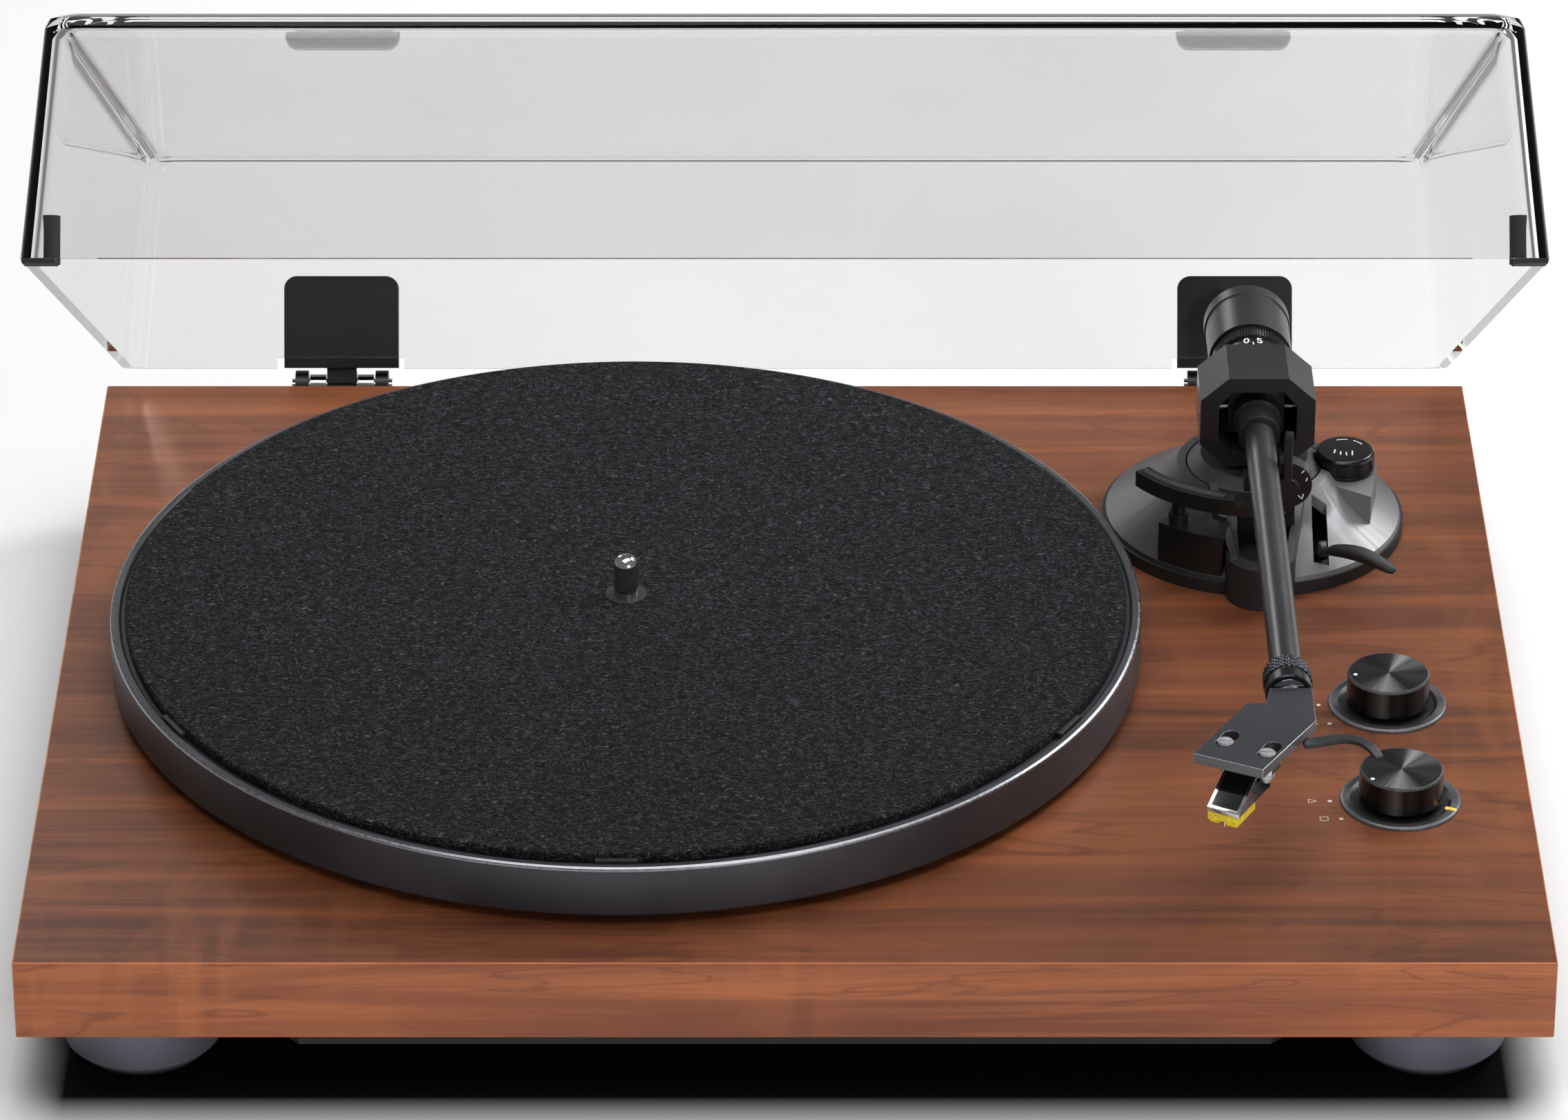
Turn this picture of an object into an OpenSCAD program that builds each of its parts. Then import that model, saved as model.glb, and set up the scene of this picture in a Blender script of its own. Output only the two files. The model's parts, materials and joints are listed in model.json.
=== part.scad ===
// Belt-driven turntable record player with a wooden plinth, a straight tonearm and a hinged clear lid.
// Millimetres. The origin is on the spindle's axis, level with the top of the slip mat. +X is the
// tonearm's side, -Y is the front and +Z is up. The lid is drawn partly open, which is its rest pose.

/* [Plinth] */
// Width of the plinth, left to right
plinth_w = 420; // [416:1:440]
// Depth of the plinth, front to back
plinth_d = 335; // [335:1:345]
// Thickness of the plinth board
plinth_t = 24; // [22:1:30]
// Distance from the spindle's axis to the middle of the plinth, along X
plinth_mid_x = 46; // [44:1:48]
// Distance from the spindle's axis back to the front of the plinth
plinth_front = 169; // [168:1:172]
// Height of the feet
foot_h = 20; // [12:1:25]
// Radius of a foot at its top
foot_r = 24; // [18:1:27]

/* [Platter] */
// Outer radius of the platter
platter_r = 149.2; // [148:0.2:150]
// Height of the slip mat's top above the plinth
mat_top = 20; // [20:0.5:22]
// Thickness of the slip mat
mat_t = 3; // [2:0.5:3]
// Radius of the slip mat
mat_r = 144.8; // [142:0.2:145]
// Radius of the spindle where a record's hole fits
spindle_r = 3.6; // [3.5:0.05:3.6]
// Radius of the ring that the belt drives
belt_ring_r = 65; // [60:1:68]
// Radius of the motor's pulley
pulley_r = 6.5; // [5:0.5:8]

/* [Lid] */
// Width of the lid at its rim
lid_w = 410; // [406:1:412]
// Depth of the lid at its rim
lid_d = 326; // [324:1:328]
// Height of the lid
lid_h = 67; // [62:1:70]
// Thickness of the lid's walls
lid_t = 3; // [2.5:0.5:3]
// How far each side leans in from the rim to the top
lid_draft = 5.6; // [4:0.2:6]
// Angle that the lid stands open at rest
lid_open = 33; // [0:1:60]

/* [Tonearm] */
// Place of the tonearm's pivot, right of the spindle
pivot_x = 186; // [184:1:188]
// Place of the tonearm's pivot, behind the spindle
pivot_y = 78; // [76:1:80]
// Height of the tube's axis above the slip mat
tube_z = 20; // [19:1:21]
// Radius of the tube
tube_r = 4.5; // [4:0.25:5]
// Angle of the headshell to the tube
offset_angle = 28.5; // [24:0.5:30]
// Radius of the counterweight
weight_r = 12.6; // [11:0.2:13]

/* [Knobs] */
// Place of both knobs, right of the spindle
knob_x = 219.2; // [218:0.2:222]
// Radius of a knob
knob_r = 11.8; // [10:0.2:12]
// Radius of the ring round a knob
bezel_r = 17; // [15:0.5:18]

/* [Hidden] */

// Small allowances
seat = 0.05;        // a running fit, on the radius
gap = 0.4;          // between pieces that move past each other
eps = 0.01;         // how far a cutting tool runs past a face

// Heights
plinth_top = -mat_top;
plinth_bottom = plinth_top - plinth_t;
floor_z = plinth_bottom - foot_h;
pad_t = 2;

// Plinth's sides
left = plinth_mid_x - plinth_w / 2;
right = plinth_mid_x + plinth_w / 2;
front = -plinth_front;
rear = front + plinth_d;

// Feet
foot_in_x = 32;
foot_in_y = 30;
foot_places = [[left + foot_in_x, front + foot_in_y], [right - foot_in_x, front + foot_in_y],
    [left + foot_in_x, rear - foot_in_y], [right - foot_in_x, rear - foot_in_y]];

// Bottom cover
cover_w = 290;
cover_front = front + 3;
cover_d = 312;
cover_t = 4;
cover_screws = [for (x = [-128, 0, 128], y = [14, cover_d - 14]) [plinth_mid_x + x, cover_front + y]];

// Main bearing and platter
shaft_r = 4;
bearing_r = 9;
bearing_bottom = plinth_bottom + 1;
web_z = -mat_t;
web_t = 5;
rim_z = web_z + 0.8;
rim_w = 2.7;
skirt_t = 5;
platter_bottom = plinth_top + 2.5;
sub_z = web_z - web_t;

// Motor
motor_place = [-70, 66];
motor_r = 17;
motor_top = plinth_top - 6;
motor_h = 16;
motor_shaft_r = 1;
belt_t = 0.6;
belt_w = 4;
belt_z = sub_z - 5.5;

// Knobs and their switches
speed_place = [knob_x, -29.6];
start_place = [knob_x, -83.3];
knob_top = plinth_top + 10.5;
knob_bottom = plinth_top + 1.5;
knob_shaft_r = 3;
switch_size = [18, 18, 9];
knob_pocket_r = 13.5;
led_angle = -25;

// Terminal panel at the back
panel_x = [-20, 100];
panel_z = [plinth_bottom + 3, plinth_top - 3];
panel_t = 2;
panel_y = rear - 3;
terminal_z = plinth_bottom + 12;
jack_xs = [-4, 16];
jack_r = 4.15;
post_x = 32;
switch_x = 54;
inlet_x = 82;

// Lid and hinges
hinge_y = rear + 6;
hinge_z = plinth_top - 3;
hinge_xs = [plinth_mid_x - 137.5, plinth_mid_x + 139.5];
rim_lift = 1.5;
lid_corner_r = 6;
lid_edge_r = 4;
plate_w = 35.4;
plate_low = 0.3;
plate_h = 28.5;
plate_t = 4;
plate_lean = atan(lid_draft / lid_h);
pin_r = 2;
knuckle_r = 4.6;
yoke_w = 29;

// Tonearm
disc_r = 45;
disc_t = 4;
disc_top = plinth_top + disc_t;
cone_top_r = 22;
cone_top = 1;
pillar_r = 20;
pillar_bottom = plinth_bottom + 5;
yaw_r = 7;
frame_w = 34;
frame_h = 29.4;
frame_d = 22;
frame_wall = 3;
frame_bottom = tube_z - frame_h / 2;
tube_front = pivot_y - 164;
collar_y = pivot_y - 166;
collar_front = collar_y - 5.6;
plate_top = tube_z + 3;
shell_t = 3;
shell_mid = [172.25, -126.5];
shell_screws = 12.7;
cartridge_w = 9.8;
stylus_top = 11.2;
lift_r = 41.6;
lift_post = [162, 45.4];
lift_drop = 5;
rest_y = 45;
clip_x = 193.5;
clip_z = 12;
dial_place = [213.2, 79.3];
dial_r = 8.9;
dial_low = plinth_top + 18.6;
post_w = 5.2;
lever_axis = [204.4, 56.6, -16.6];
weight_y = pivot_y + 28.5;
weight_l = 25.5;
stub_r = 3.6;
core_r = 6.5;

// Turns its children about an axis along X that passes through y, z
module about_x(y, z, angle) {
    translate([0, y, z]) rotate([angle, 0, 0]) translate([0, -y, -z]) children();
}

// A rod along X, its middle at p
module rod_x(p, r, length) {
    translate(p) rotate([0, 90, 0]) cylinder(r = r, h = length, center = true, $fn = 48);
}

// A rod along Y from y = from to y = to
module rod_y(x, z, r, from, to) {
    translate([x, to, z]) rotate([90, 0, 0]) cylinder(r = r, h = to - from, $fn = 64);
}

// A countersunk screw standing head down at p
module screw(p, r, length, head_r) {
    translate(p) cylinder(r = r, h = length, $fn = 24);
    translate(p) cylinder(r1 = head_r, r2 = r, h = head_r - r, $fn = 24);
}

// An eight-sided plate in the XZ plane, centred on x = 0, z = 0
module octagon(w, h, cut_x, cut_z) {
    polygon([[-w / 2 + cut_x, -h / 2], [w / 2 - cut_x, -h / 2], [w / 2, -h / 2 + cut_z],
        [w / 2, h / 2 - cut_z], [w / 2 - cut_x, h / 2], [-w / 2 + cut_x, h / 2],
        [-w / 2, h / 2 - cut_z], [-w / 2, -h / 2 + cut_z]]);
}

// ---- Plinth ----

// The wooden board, with its pockets for the bearing, motor, switches, tonearm and terminals
module plinth() {
    color("saddlebrown") difference() {
        translate([left, front, plinth_bottom]) cube([plinth_w, plinth_d, plinth_t]);
        translate([0, 0, plinth_bottom - 1]) cylinder(r = bearing_r, h = plinth_t + 2, $fn = 96);
        translate([motor_place[0], motor_place[1], plinth_bottom - 1])
            cylinder(r = motor_r + 9, h = motor_top + 1 - plinth_bottom + eps, $fn = 96);
        translate([motor_place[0], motor_place[1], plinth_bottom])
            cylinder(r = pulley_r + 2, h = plinth_t + 1, $fn = 64);
        for (p = [speed_place, start_place])
            translate([p[0], p[1], plinth_bottom + 4.4])
                cylinder(r = knob_pocket_r, h = plinth_t, $fn = 96);
        translate([pivot_x, pivot_y, pillar_bottom]) cylinder(r = pillar_r, h = plinth_t, $fn = 96);
        translate([plinth_mid_x - cover_w / 2 + 12, rear - 75, plinth_bottom - 1])
            cube([cover_w - 24, 45, 15]);
        translate([panel_x[0] + 3, rear - 40, panel_z[0] + 2])
            cube([panel_x[1] - panel_x[0] - 6, 41, 14]);
        translate([panel_x[0], panel_y, panel_z[0]])
            cube([panel_x[1] - panel_x[0], 4, panel_z[1] - panel_z[0]]);
        for (p = foot_places)
            translate([p[0], p[1], plinth_bottom - 1]) cylinder(r = 2, h = 15, $fn = 24);
        for (p = cover_screws)
            translate([p[0], p[1], plinth_bottom - 1]) cylinder(r = 1.5, h = 13, $fn = 24);
    }
}

// The cover under the board, its corners cut off
module bottom_cover() {
    cut = 12;
    color("black") difference() {
        translate([plinth_mid_x - cover_w / 2, cover_front, plinth_bottom - cover_t])
            linear_extrude(cover_t)
                polygon([[cut, 0], [cover_w - cut, 0], [cover_w, cut], [cover_w, cover_d - cut],
                    [cover_w - cut, cover_d], [cut, cover_d], [0, cover_d - cut], [0, cut]]);
        for (p = cover_screws)
            translate([p[0], p[1], plinth_bottom - cover_t - eps])
                screw([0, 0, 0], 1.5 + seat, cover_t + 1, 3 + 2 * seat);
    }
}

// The screws that hold the cover and the feet
module base_screws() {
    color("dimgray") {
        for (p = cover_screws) screw([p[0], p[1], plinth_bottom - cover_t], 1.5, 14, 3);
        for (p = foot_places) screw([p[0], p[1], floor_z + pad_t + 1], 2, foot_h + 8, 4);
    }
}

// A tapered foot with a hole for its screw
module foot(p) {
    color("slategray") difference() {
        translate([p[0], p[1], floor_z]) rotate_extrude($fn = 96)
            polygon([[0, pad_t], [foot_r - 4, pad_t], [foot_r - 2.2, pad_t + 2],
                [foot_r - 0.4, foot_h - 4], [foot_r, foot_h], [0, foot_h]]);
        screw([p[0], p[1], floor_z + pad_t + 1], 2, foot_h, 4);
        translate([p[0], p[1], floor_z]) cylinder(r = 4, h = pad_t + 1 + eps, $fn = 24);
    }
}

module foot_front_left() { foot(foot_places[0]); }
module foot_front_right() { foot(foot_places[1]); }
module foot_rear_left() { foot(foot_places[2]); }
module foot_rear_right() { foot(foot_places[3]); }

// The soft pads that the feet stand on
module foot_pads() {
    color("black") for (p = foot_places) translate([p[0], p[1], floor_z]) difference() {
        cylinder(r = foot_r - 6, h = pad_t, $fn = 96);
        translate([0, 0, -1]) cylinder(r = 5, h = pad_t + 2, $fn = 32);
    }
}

// ---- Bearing, motor and belt ----

// The brass bush that the spindle turns in, with a flange on the board
module bearing_housing() {
    color("goldenrod") rotate_extrude($fn = 96)
        polygon([[0, bearing_bottom], [bearing_r, bearing_bottom], [bearing_r, plinth_top],
            [bearing_r + 7, plinth_top], [bearing_r + 7, plinth_top + 1.5],
            [shaft_r + seat, plinth_top + 1.5], [shaft_r + seat, bearing_bottom + 2],
            [0, bearing_bottom + 2]]);
}

// The ball that the spindle stands on
module bearing_ball() {
    color("silver") translate([0, 0, bearing_bottom + 4.5]) sphere(r = 2.45, $fn = 48);
}

// The motor, hung from its bracket, with a boss round the shaft
module motor() {
    color("gray") translate([motor_place[0], motor_place[1], 0]) difference() {
        union() {
            translate([0, 0, motor_top - 1.6 - motor_h]) cylinder(r = motor_r, h = motor_h, $fn = 96);
            translate([0, 0, motor_top - 2]) cylinder(r = 5, h = 5, $fn = 48);
        }
        translate([0, 0, motor_top - 14]) cylinder(r = motor_shaft_r + seat, h = 20, $fn = 32);
    }
}

// The plate that holds the motor in the board
module motor_bracket() {
    color("silver") translate([motor_place[0], motor_place[1], motor_top - 1.6]) difference() {
        cylinder(r = motor_r + 8, h = 1.6, $fn = 96);
        translate([0, 0, -1]) cylinder(r = 5, h = 4, $fn = 48);
    }
}

// The loop that an endless belt takes round the ring and the pulley, grown by g
module belt_path(g) {
    hull() {
        circle(r = belt_ring_r + g, $fn = 180);
        translate(motor_place) circle(r = pulley_r + g, $fn = 96);
    }
}

// The endless belt from the pulley to the inner platter
module drive_belt() {
    color("black") translate([0, 0, belt_z]) linear_extrude(belt_w) difference() {
        belt_path(belt_t + 0.15);
        belt_path(0.15);
    }
}

// The circuit board, with three packages on it
module control_board() {
    board_z = plinth_bottom + 4;
    color("darkgreen") translate([20, rear - 72, board_z]) difference() {
        cube([90, 35, 1.6]);
        for (x = [4, 86], y = [4, 31]) translate([x, y, -1]) cylinder(r = 1.6, h = 4, $fn = 24);
    }
    color("black") for (x = [34, 58, 82]) translate([x, rear - 60, board_z + 1.6]) cube([12, 14, 2.5]);
}

// The panel at the back, with a hole for each terminal
module terminal_panel() {
    wide = panel_x[1] - panel_x[0];
    color("black") difference() {
        translate([panel_x[0] + seat, panel_y, panel_z[0] + seat])
            cube([wide - 2 * seat, panel_t, panel_z[1] - panel_z[0] - 2 * seat]);
        for (x = jack_xs) rod_y(x, terminal_z, 3, panel_y - 1, panel_y + panel_t + 1);
        rod_y(post_x, terminal_z, 2, panel_y - 1, panel_y + panel_t + 1);
        translate([switch_x - 5, panel_y - 1, terminal_z - 1.8]) cube([10, panel_t + 2, 3.6]);
        rod_y(inlet_x, terminal_z, 3.8, panel_y - 1, panel_y + panel_t + 1);
    }
}

// The two signal jacks
module rca_jacks() {
    color("gold") for (x = jack_xs) difference() {
        union() {
            rod_y(x, terminal_z, 3, panel_y - 6, panel_y + panel_t);
            rod_y(x, terminal_z, 5.5, panel_y + panel_t, panel_y + panel_t + 1.5);
            rod_y(x, terminal_z, jack_r, panel_y + panel_t + 1.5, panel_y + panel_t + 10);
        }
        rod_y(x, terminal_z, 1.7, panel_y + 3, panel_y + panel_t + 11);
    }
}

// The ground post with its nut
module ground_post() {
    color("silver") {
        rod_y(post_x, terminal_z, 2, panel_y - 4, panel_y + panel_t + 9);
        rod_y(post_x, terminal_z, 4, panel_y + panel_t + 2, panel_y + panel_t + 7);
    }
}

// The power inlet and its pin
module dc_inlet() {
    color("dimgray") difference() {
        union() {
            rod_y(inlet_x, terminal_z, 3.8, panel_y - 8, panel_y + panel_t);
            rod_y(inlet_x, terminal_z, 5, panel_y + panel_t, panel_y + panel_t + 1.2);
        }
        rod_y(inlet_x, terminal_z, 2.8, panel_y - 6, panel_y + panel_t + 2);
    }
    color("silver") rod_y(inlet_x, terminal_z, 1, panel_y - 7, panel_y + panel_t);
}

// The sliding switch between the two outputs
module line_switch() {
    color("white") translate([switch_x - 4.8, panel_y - 2.6, terminal_z - 1.6]) {
        cube([4.6, panel_t + 4.2, 3.2]);
        translate([0, 0, -1.4]) cube([4.6, 2.3, 6]);
    }
}

// ---- Knobs ----

// The ring round a knob, at p
module bezel(p) {
    color("dimgray") translate([p[0], p[1], plinth_top]) rotate_extrude($fn = 128)
        polygon([[5.2, 0], [bezel_r, 0], [bezel_r, 0.5], [bezel_r - 1, 1.1], [knob_r + 2.4, 1.1],
            [knob_r + 1.4, 0.3], [5.2, 0.3]]);
}

module speed_bezel() { bezel(speed_place); }

// The lower ring has a slot for the light
module start_bezel() {
    color("dimgray") difference() {
        bezel(start_place);
        led_slot();
    }
}

// The slot for the light in the lower ring
module led_slot() {
    translate([start_place[0], start_place[1], plinth_top + 0.4]) rotate(led_angle)
        translate([bezel_r - 3.2, -0.7, 0]) cube([2.4, 1.4, 1]);
}

// The status light, level with the ring
module power_led() {
    color("orange") intersection() {
        led_slot();
        translate([start_place[0], start_place[1], plinth_top]) cylinder(r = bezel_r, h = 1.1, $fn = 96);
    }
}

// A rotary switch under a knob, at p
module switch_body(p) {
    color("dimgray") difference() {
        union() {
            translate([p[0], p[1], plinth_top - 15]) cube(switch_size, center = true);
            translate([p[0], p[1], plinth_top - 11]) cylinder(r = 4.6, h = 9, $fn = 48);
        }
        translate([p[0], p[1], plinth_top - 16]) cylinder(r = knob_shaft_r + seat, h = 15, $fn = 48);
    }
}

module speed_selector() { switch_body(speed_place); }
module start_switch() { switch_body(start_place); }

// A knob with its shaft, at p
module knob(p) {
    color("#151515") translate([p[0], p[1], 0]) {
        difference() {
            translate([0, 0, knob_bottom]) rotate_extrude($fn = 128)
                polygon([[0, 0], [knob_r, 0], [knob_r, knob_top - knob_bottom - 0.5],
                    [knob_r - 0.5, knob_top - knob_bottom], [0, knob_top - knob_bottom]]);
            translate([0, 0, knob_bottom - 1]) cylinder(r = knob_r - 1.5, h = 2.5, $fn = 96);
        }
        translate([0, 0, plinth_top - 13]) cylinder(r = knob_shaft_r, h = 16, $fn = 48);
    }
}

module speed_knob() { knob(speed_place); }
module start_knob() { knob(start_place); }

// ---- Platter ----

// The outer platter, with a raised rim round the mat
module platter() {
    color("#4a4b50") rotate_extrude($fn = 180)
        polygon([[shaft_r + 2, web_z - web_t], [platter_r - skirt_t - 6, web_z - web_t],
            [platter_r - skirt_t, web_z - web_t - 4], [platter_r - skirt_t, platter_bottom],
            [platter_r - 0.8, platter_bottom], [platter_r, platter_bottom + 0.8],
            [platter_r, rim_z - 0.6], [platter_r - 0.6, rim_z], [platter_r - rim_w, rim_z],
            [platter_r - rim_w - 0.6, web_z], [shaft_r + 2, web_z]]);
}

// The inner platter that the belt drives
module sub_platter() {
    color("#222222") rotate_extrude($fn = 180)
        polygon([[shaft_r + 2, sub_z - 8], [shaft_r + 7, sub_z - 8], [shaft_r + 7, sub_z - 3],
            [belt_ring_r - 4, sub_z - 3], [belt_ring_r - 4, sub_z - 8.5], [belt_ring_r, sub_z - 8.5],
            [belt_ring_r, sub_z], [shaft_r + 2, sub_z]]);
}

// The spindle, its shaft and its shoulder under the platter
module spindle() {
    tip = 12.5;
    color("silver") rotate_extrude($fn = 96)
        polygon([[0, bearing_bottom + 7], [shaft_r - 0.5, bearing_bottom + 7],
            [shaft_r, bearing_bottom + 7.5], [shaft_r, sub_z - 8], [shaft_r + 2, sub_z - 8],
            [shaft_r + 2, 0], [spindle_r, 0], [spindle_r, tip - 2.5], [spindle_r - 1.6, tip], [0, tip]]);
}

// The felt mat
module slip_mat() {
    color("#28282a") difference() {
        translate([0, 0, -mat_t]) cylinder(r = mat_r, h = mat_t, $fn = 180);
        translate([0, 0, -mat_t - 1]) cylinder(r = shaft_r + 2, h = mat_t + 2, $fn = 96);
    }
}

// The grooved pulley and its shaft
module motor_pulley() {
    color("gold") translate([motor_place[0], motor_place[1], 0]) rotate_extrude($fn = 96)
        polygon([[0, motor_top - 13], [motor_shaft_r, motor_top - 13], [motor_shaft_r, belt_z - 1.2],
            [pulley_r + 1, belt_z - 1.2], [pulley_r + 1, belt_z - 0.4], [pulley_r, belt_z - 0.2],
            [pulley_r, belt_z + belt_w + 0.2], [pulley_r + 1, belt_z + belt_w + 0.4],
            [pulley_r + 1, belt_z + belt_w + 1], [0, belt_z + belt_w + 1]]);
}

// ---- Lid ----

// Puts what is drawn on the closed lid at the lid's rest angle
module lid_pose() {
    about_x(hinge_y, hinge_z, -lid_open) children();
}

// The lid's outer shape when closed, drawn in by inset and with its top lowered by down
module lid_block(inset, down) {
    rim = plinth_top + rim_lift;
    top = lid_h - down;
    in = function (h) inset + lid_draft * h / lid_h;
    levels = [[-down, in(0)], [top - lid_edge_r, in(top)],
        [top - lid_edge_r * 0.3, in(top) + lid_edge_r * 0.3], [top, in(top) + lid_edge_r]];
    hull() for (level = levels) {
        w = lid_w / 2 - level[1] - lid_corner_r;
        for (sx = [-1, 1], y = [rear - level[1] - lid_corner_r, rear - lid_d + level[1] + lid_corner_r])
            translate([plinth_mid_x + sx * w, y, rim + level[0]])
                cylinder(r = lid_corner_r, h = eps, $fn = 32);
    }
}

// The clear lid, open below and notched for the hinges
module dust_cover() {
    color("gainsboro", 0.4) lid_pose() difference() {
        lid_block(0, 0);
        lid_block(lid_t, lid_t);
        for (x = hinge_xs)
            translate([x - plate_w / 2 - 2, rear - 8, plinth_top - 1])
                cube([plate_w + 4, 12, rim_lift + 4.4]);
    }
}

// A rubber corner under each front corner of the rim, with a round boss that stands up inside the lid
module lid_bumpers() {
    rim = plinth_top + rim_lift;
    pad = 9;
    boss_r = 2.6;
    boss_h = 13;
    boss_in = lid_t + lid_corner_r - 1;
    color("black") lid_pose() for (sx = [-1, 1]) {
        translate([plinth_mid_x + sx * (lid_w / 2 - 0.8 - pad / 2) - pad / 2, rear - lid_d + 0.8, rim - 1.3])
            cube([pad, pad, 1.3]);
        translate([plinth_mid_x + sx * (lid_w / 2 - boss_in), rear - lid_d + boss_in, rim - 1])
            cylinder(r = boss_r, h = boss_h, $fn = 48);
    }
}

// A hinge's leaf, drawn closed on the lid's back wall, with a knuckle round the pin
module hinge_plate(x) {
    color("#161618") lid_pose() difference() {
        union() {
            translate([x, rear, plinth_top + rim_lift]) rotate([plate_lean, 0, 0])
                translate([-plate_w / 2, seat, plate_low]) rotate([90, 0, 0]) mirror([0, 0, 1])
                    linear_extrude(plate_t) union() {
                        square([plate_w, plate_h - 4]);
                        translate([4, 0]) square([plate_w - 8, plate_h]);
                        for (cx = [4, plate_w - 4])
                            translate([cx, plate_h - 4]) circle(r = 4, $fn = 48);
                    }
            translate([x - 4.5, rear + 1, hinge_z]) cube([9, 4.5, plinth_top - hinge_z + 5]);
            rod_x([x, hinge_y, hinge_z], knuckle_r, 9);
        }
        rod_x([x, hinge_y, hinge_z], pin_r, 12);
        for (side = [-1, 1]) rod_x([x + side * 9.8, hinge_y, hinge_z], knuckle_r + gap, 10.2);
    }
}

module hinge_plate_left() { hinge_plate(hinge_xs[0]); }
module hinge_plate_right() { hinge_plate(hinge_xs[1]); }

// The two hinge pins, each with a torsion spring on either side of its knuckle
module hinge_pins() {
    color("silver") for (x = hinge_xs) {
        rod_x([x, hinge_y, hinge_z], pin_r, yoke_w + 2);
        for (side = [-1, 1]) difference() {
            rod_x([x + side * 7.4, hinge_y, hinge_z], 3.4, 5);
            rod_x([x + side * 7.4, hinge_y, hinge_z], pin_r + 0.3, 6);
        }
    }
}

// A hinge base on the plinth, with a yoke for the pin and two screw heads
module hinge_base(x) {
    color("#161618") difference() {
        union() {
            translate([x - yoke_w / 2, rear, plinth_bottom + 2]) cube([yoke_w, 4, 13]);
            for (side = [-1, 1]) {
                translate([x + side * 12.4 - 2, rear, hinge_z - 10]) cube([4, 6, 10]);
                rod_x([x + side * 12.4, hinge_y, hinge_z], knuckle_r, 4);
                translate([x + side * 12.4 - 2, rear, hinge_z - 10]) cube([4, 9, 6]);
            }
        }
        rod_x([x, hinge_y, hinge_z], pin_r + seat, yoke_w + 2);
    }
    color("dimgray") for (dx = [-8, 8]) rod_y(x + dx, plinth_bottom + 8, 3, rear + 4, rear + 5.6);
}

module hinge_base_left() { hinge_base(hinge_xs[0]); }
module hinge_base_right() { hinge_base(hinge_xs[1]); }

// ---- Tonearm's base ----

// The disc under the tonearm, open for the pillar, the lever and the tongue
module arm_base_disc() {
    color("black") translate([pivot_x, pivot_y, plinth_top]) difference() {
        cylinder(r = disc_r, h = disc_t, $fn = 128);
        translate([0, 0, -1]) cylinder(r = pillar_r + seat, h = disc_t + 2, $fn = 96);
        translate([lever_axis[0] - pivot_x - 8, lever_axis[1] - pivot_y - 14, -1]) cube([13, 20, disc_t + 2]);
        tongue_outline(disc_t + 2);
    }
}

// The upright tongue in front of the cone, h high
module tongue_outline(h) {
    tongue_r = 10.3;
    translate([0, 34.7 - pivot_y, -eps]) {
        cylinder(r = tongue_r, h = h, $fn = 64);
        translate([-tongue_r, 0, 0]) cube([2 * tongue_r, 18, h]);
    }
}

// The floor of the trough in the tongue, w wide and h high
module trough(w, h) {
    translate([0, 36 - pivot_y, 0]) cylinder(r = w / 2, h = h, $fn = 48);
    translate([-w / 2, 36 - pivot_y, 0]) cube([w, 20, h]);
}

// One of the two rims that rise and spread from the trough's front to the pillar
module rail(side) {
    thick = 2.2;
    length = 29;
    translate([pivot_x + side * 7.8, 31, 0]) rotate(-11 * side) translate([-thick / 2, 0, 0])
        rotate([90, 0, 90]) linear_extrude(thick)
            polygon([[0, disc_top], [8, disc_top], [14, -9], [length, -3], [length, 4],
                [0, plinth_top + 13.5]]);
}

// The room that the anti-skate dial turns in
module dial_clearance() {
    translate([dial_place[0], dial_place[1], dial_low - gap]) cylinder(r = dial_r + gap, h = 20, $fn = 96);
}

// The conical cover, with its tongue, rails, pedestal and openings
module arm_base_cone() {
    foot = disc_r - 0.7;
    knee_r = cone_top_r + 8;
    knee = cone_top - 7.6;
    wall = 2.4;
    color("dimgray") difference() {
        union() {
            translate([pivot_x, pivot_y, 0]) rotate_extrude($fn = 128)
                polygon([[foot, disc_top], [foot - 0.5, disc_top + 1.2], [knee_r, knee],
                    [cone_top_r + 1, cone_top], [pillar_r + gap, cone_top],
                    [pillar_r + gap, cone_top - wall], [cone_top_r, cone_top - wall],
                    [knee_r - 1.6, knee - wall], [foot - 5, disc_top]]);
            translate([pivot_x, pivot_y, plinth_top]) intersection() {
                tongue_outline(13.5);
                translate([-40, -80, 0]) cube([80, 57, 20]);
            }
            translate([0, 0, disc_top + 1]) {
                translate(dial_place) cylinder(r = dial_r + 0.8, h = 13, $fn = 96);
                linear_extrude(13) polygon([[207, 70], [220, 61.4], [222.9, 79.3], [213, 80]]);
            }
            for (side = [-1, 1]) rail(side);
        }
        translate([pivot_x, pivot_y, disc_top - 1]) cylinder(r = pillar_r + gap, h = 30, $fn = 96);
        translate([pivot_x, pivot_y, plinth_top + 5]) trough(12.5, 20);
        translate([lever_axis[0] - 2.3, 41, disc_top + 1.2]) cube([4.6, 19, 20]);
        translate([clip_x - post_w / 2 - seat, rest_y - 1 - seat, disc_top - 1])
            cube([post_w + 4 * seat, 4 + 2 * seat, 20]);
        dial_clearance();
        translate([0, 0, disc_top - 1]) guide_block(seat, 20);
        translate([dial_place[0], dial_place[1], disc_top]) cylinder(r = 2 + seat, h = 20, $fn = 32);
    }
}

// The pillar that the arm turns in
module arm_pillar() {
    color("#101012") translate([pivot_x, pivot_y, 0]) difference() {
        union() {
            translate([0, 0, pillar_bottom]) cylinder(r = pillar_r, h = cone_top - pillar_bottom, $fn = 96);
            translate([0, 0, cone_top]) cylinder(r1 = pillar_r, r2 = 16, h = 3, $fn = 96);
        }
        translate([0, 0, pillar_bottom + 2]) cylinder(r = yaw_r + seat, h = 60, $fn = 64);
        translate([-pivot_x, -pivot_y, 0]) dial_clearance();
    }
}

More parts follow.
